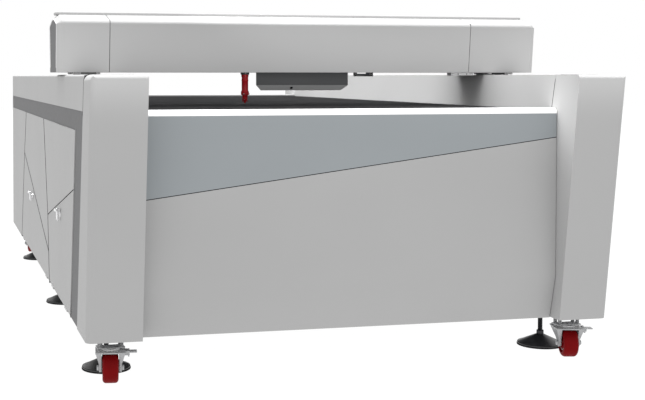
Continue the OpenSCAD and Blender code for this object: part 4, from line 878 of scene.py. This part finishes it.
def rear_details():
    """Beads and collars of the ducts, the grommet of the cable inlet and the screws of the rear covers."""
    end = box("exhaust_ducts")[1].y
    face = box("rear_panel")[1].y
    collar_in, collar_out, collar_h, bolt_circle = mm(74, 90, 2, 84)
    for side, s in SIDES.items():
        centre = Vector((s * DUCT_X, 0, DUCT_Z))
        bm = bmesh.new()
        for back in mm(3, 28):
            ring(bm, centre + Vector((0, end - back, 0)), DUCT_R, 1.8 * MM, "Y", 64)
        lathe(bm, [(collar_in, face), (collar_out, face), (collar_out, face + collar_h), (collar_in, face + collar_h),
                   (collar_in, face)], centre, "Y", 64)
        for k in range(6):
            a = 2 * pi * k / 6
            screw(bm, centre + Vector((bolt_circle * cos(a), face + collar_h, bolt_circle * sin(a))), 2.6 * MM, "Y")
        piece("duct_collar_" + side, bm, "frame_paint", "base")
        bm = bmesh.new()
        cap = box("rear_cap_" + side)[1].y
        for z in mm(200, 380, 560, 740, 920):
            for x in mm(765, 910):
                screw(bm, (s * x, cap, z), 4 * MM, "Y")
        for x in mm(40, 180, 440, 580, 725):
            for z in mm(330, 860):
                screw(bm, (s * x, face, z), 4 * MM, "Y")
        piece("rear_screws_" + side, bm, "steel", "base", "zinc")
    bm = bmesh.new()
    ring(bm, Vector((INLET_X, face, INLET_Z)), 15.5 * MM, 2.6 * MM, "Y", 40)
    piece("inlet_grommet", bm, "belt_rubber", "base")


def stop_ring():
    """The yellow ring behind the stop button."""
    low, high = box("stop_button")
    bm = bmesh.new()
    lathe(bm, [mm(11.6, 0), mm(26.6, 0), mm(27, 0.4), mm(27, 0.9), mm(26.4, 1.5), mm(11.6, 1.5), mm(11.6, 0)],
          (OUTER, (low.y + high.y) / 2, (low.z + high.z) / 2), "X", 48)
    piece("stop_ring", bm, "button_red", "base", "signal_yellow")


covers()
tower_seams()
gantry_seams()
door_shade_gaskets()
hinge_screws()
latch_handles()
split_line()
belly()
lip_highlights()
cutting_head()
casters()
feet()
foot_wipers()
small_fittings()
laser_tube()
motor_details()
power_supply()
control_unit()
rear_details()
stop_ring()


# ---------------------------------------------------------------- stage, light and camera

def stage():
    """A floor that glows like a lit sweep of paper, so that it stays white under the machine."""
    bm = bmesh.new()
    bmesh.ops.create_grid(bm, x_segments=1, y_segments=1, size=30)
    mesh = bpy.data.meshes.new("floor")
    bm.to_mesh(mesh)
    bm.free()
    floor = bpy.data.objects.new("floor", mesh)
    bpy.context.scene.collection.objects.link(floor)
    s = Shader("floor").set(Roughness=0.9, Specular_IOR_Level=0.0, Emission_Color=(1, 1, 1, 1),
                            Emission_Strength=1.0)
    s.colour(s.noise(0.4), [(0.3, (0.03, 0.03, 0.03, 1)), (0.7, (0.034, 0.034, 0.034, 1))])
    mesh.materials.append(s.mat)


def sun(name, direction, strength, angle):
    """Parallel light; angle is how wide its source looks, in degrees."""
    data = bpy.data.lights.new(name, "SUN")
    data.energy = strength
    data.angle = radians(angle)
    light = bpy.data.objects.new(name, data)
    light.rotation_euler = Vector(direction).to_track_quat("-Z", "Y").to_euler()
    bpy.context.scene.collection.objects.link(light)


def strip_light(name, place, target, size, spread, power):
    """A soft box behind a honeycomb, whose light stays within a narrow spread."""
    data = bpy.data.lights.new(name, "AREA")
    data.shape = "RECTANGLE"
    data.size, data.size_y = size
    data.spread = radians(spread)
    data.energy = power
    light = bpy.data.objects.new(name, data)
    light.location = place
    light.rotation_euler = (Vector(target) - Vector(place)).to_track_quat("-Z", "Y").to_euler()
    bpy.context.scene.collection.objects.link(light)


def lights():
    """White surroundings, a light from straight above that burns out what faces up, and soft boxes
    for the front of the gantry, the inner side of the right tower and the inner side of the right wall."""
    world = bpy.data.worlds.new("studio")
    world.use_nodes = True
    world.node_tree.nodes["Background"].inputs["Color"].default_value = (1, 1, 1, 1)
    world.node_tree.nodes["Background"].inputs["Strength"].default_value = 1.0
    bpy.context.scene.world = world
    sun("overhead", (0, 0, -1), 5.5, 6)
    strip_light("gantry_front", (0.0, -3.3, 1.09), (0.0, -1, 1.09), (2.2, 0.28), 9, 0.65)
    strip_light("right_tower", (-1.2, -1.95, 0.98), (0.745, -1.62, 0.9), (0.2, 0.2), 10, 0.05)
    strip_light("right_wall", (-0.5, 0.0, 1.4), (0.745, 0.0, 0.93), (3.2, 0.25), 50, 6.5)


def camera():
    """At the height of the wall tops, in front of the left tower, looking slightly right and down."""
    data = bpy.data.cameras.new("camera")
    data.sensor_width = 36
    data.lens = 66.4
    data.shift_x = 0.193
    data.shift_y = -0.137
    cam = bpy.data.objects.new("camera", data)
    cam.location = (-1.422, -5.372, 1.011)
    cam.rotation_euler = (radians(90 - 1.71), 0, radians(-12.82))
    bpy.context.scene.collection.objects.link(cam)
    bpy.context.scene.camera = cam


stage()
lights()
camera()
bpy.context.scene.view_settings.view_transform = "Standard"
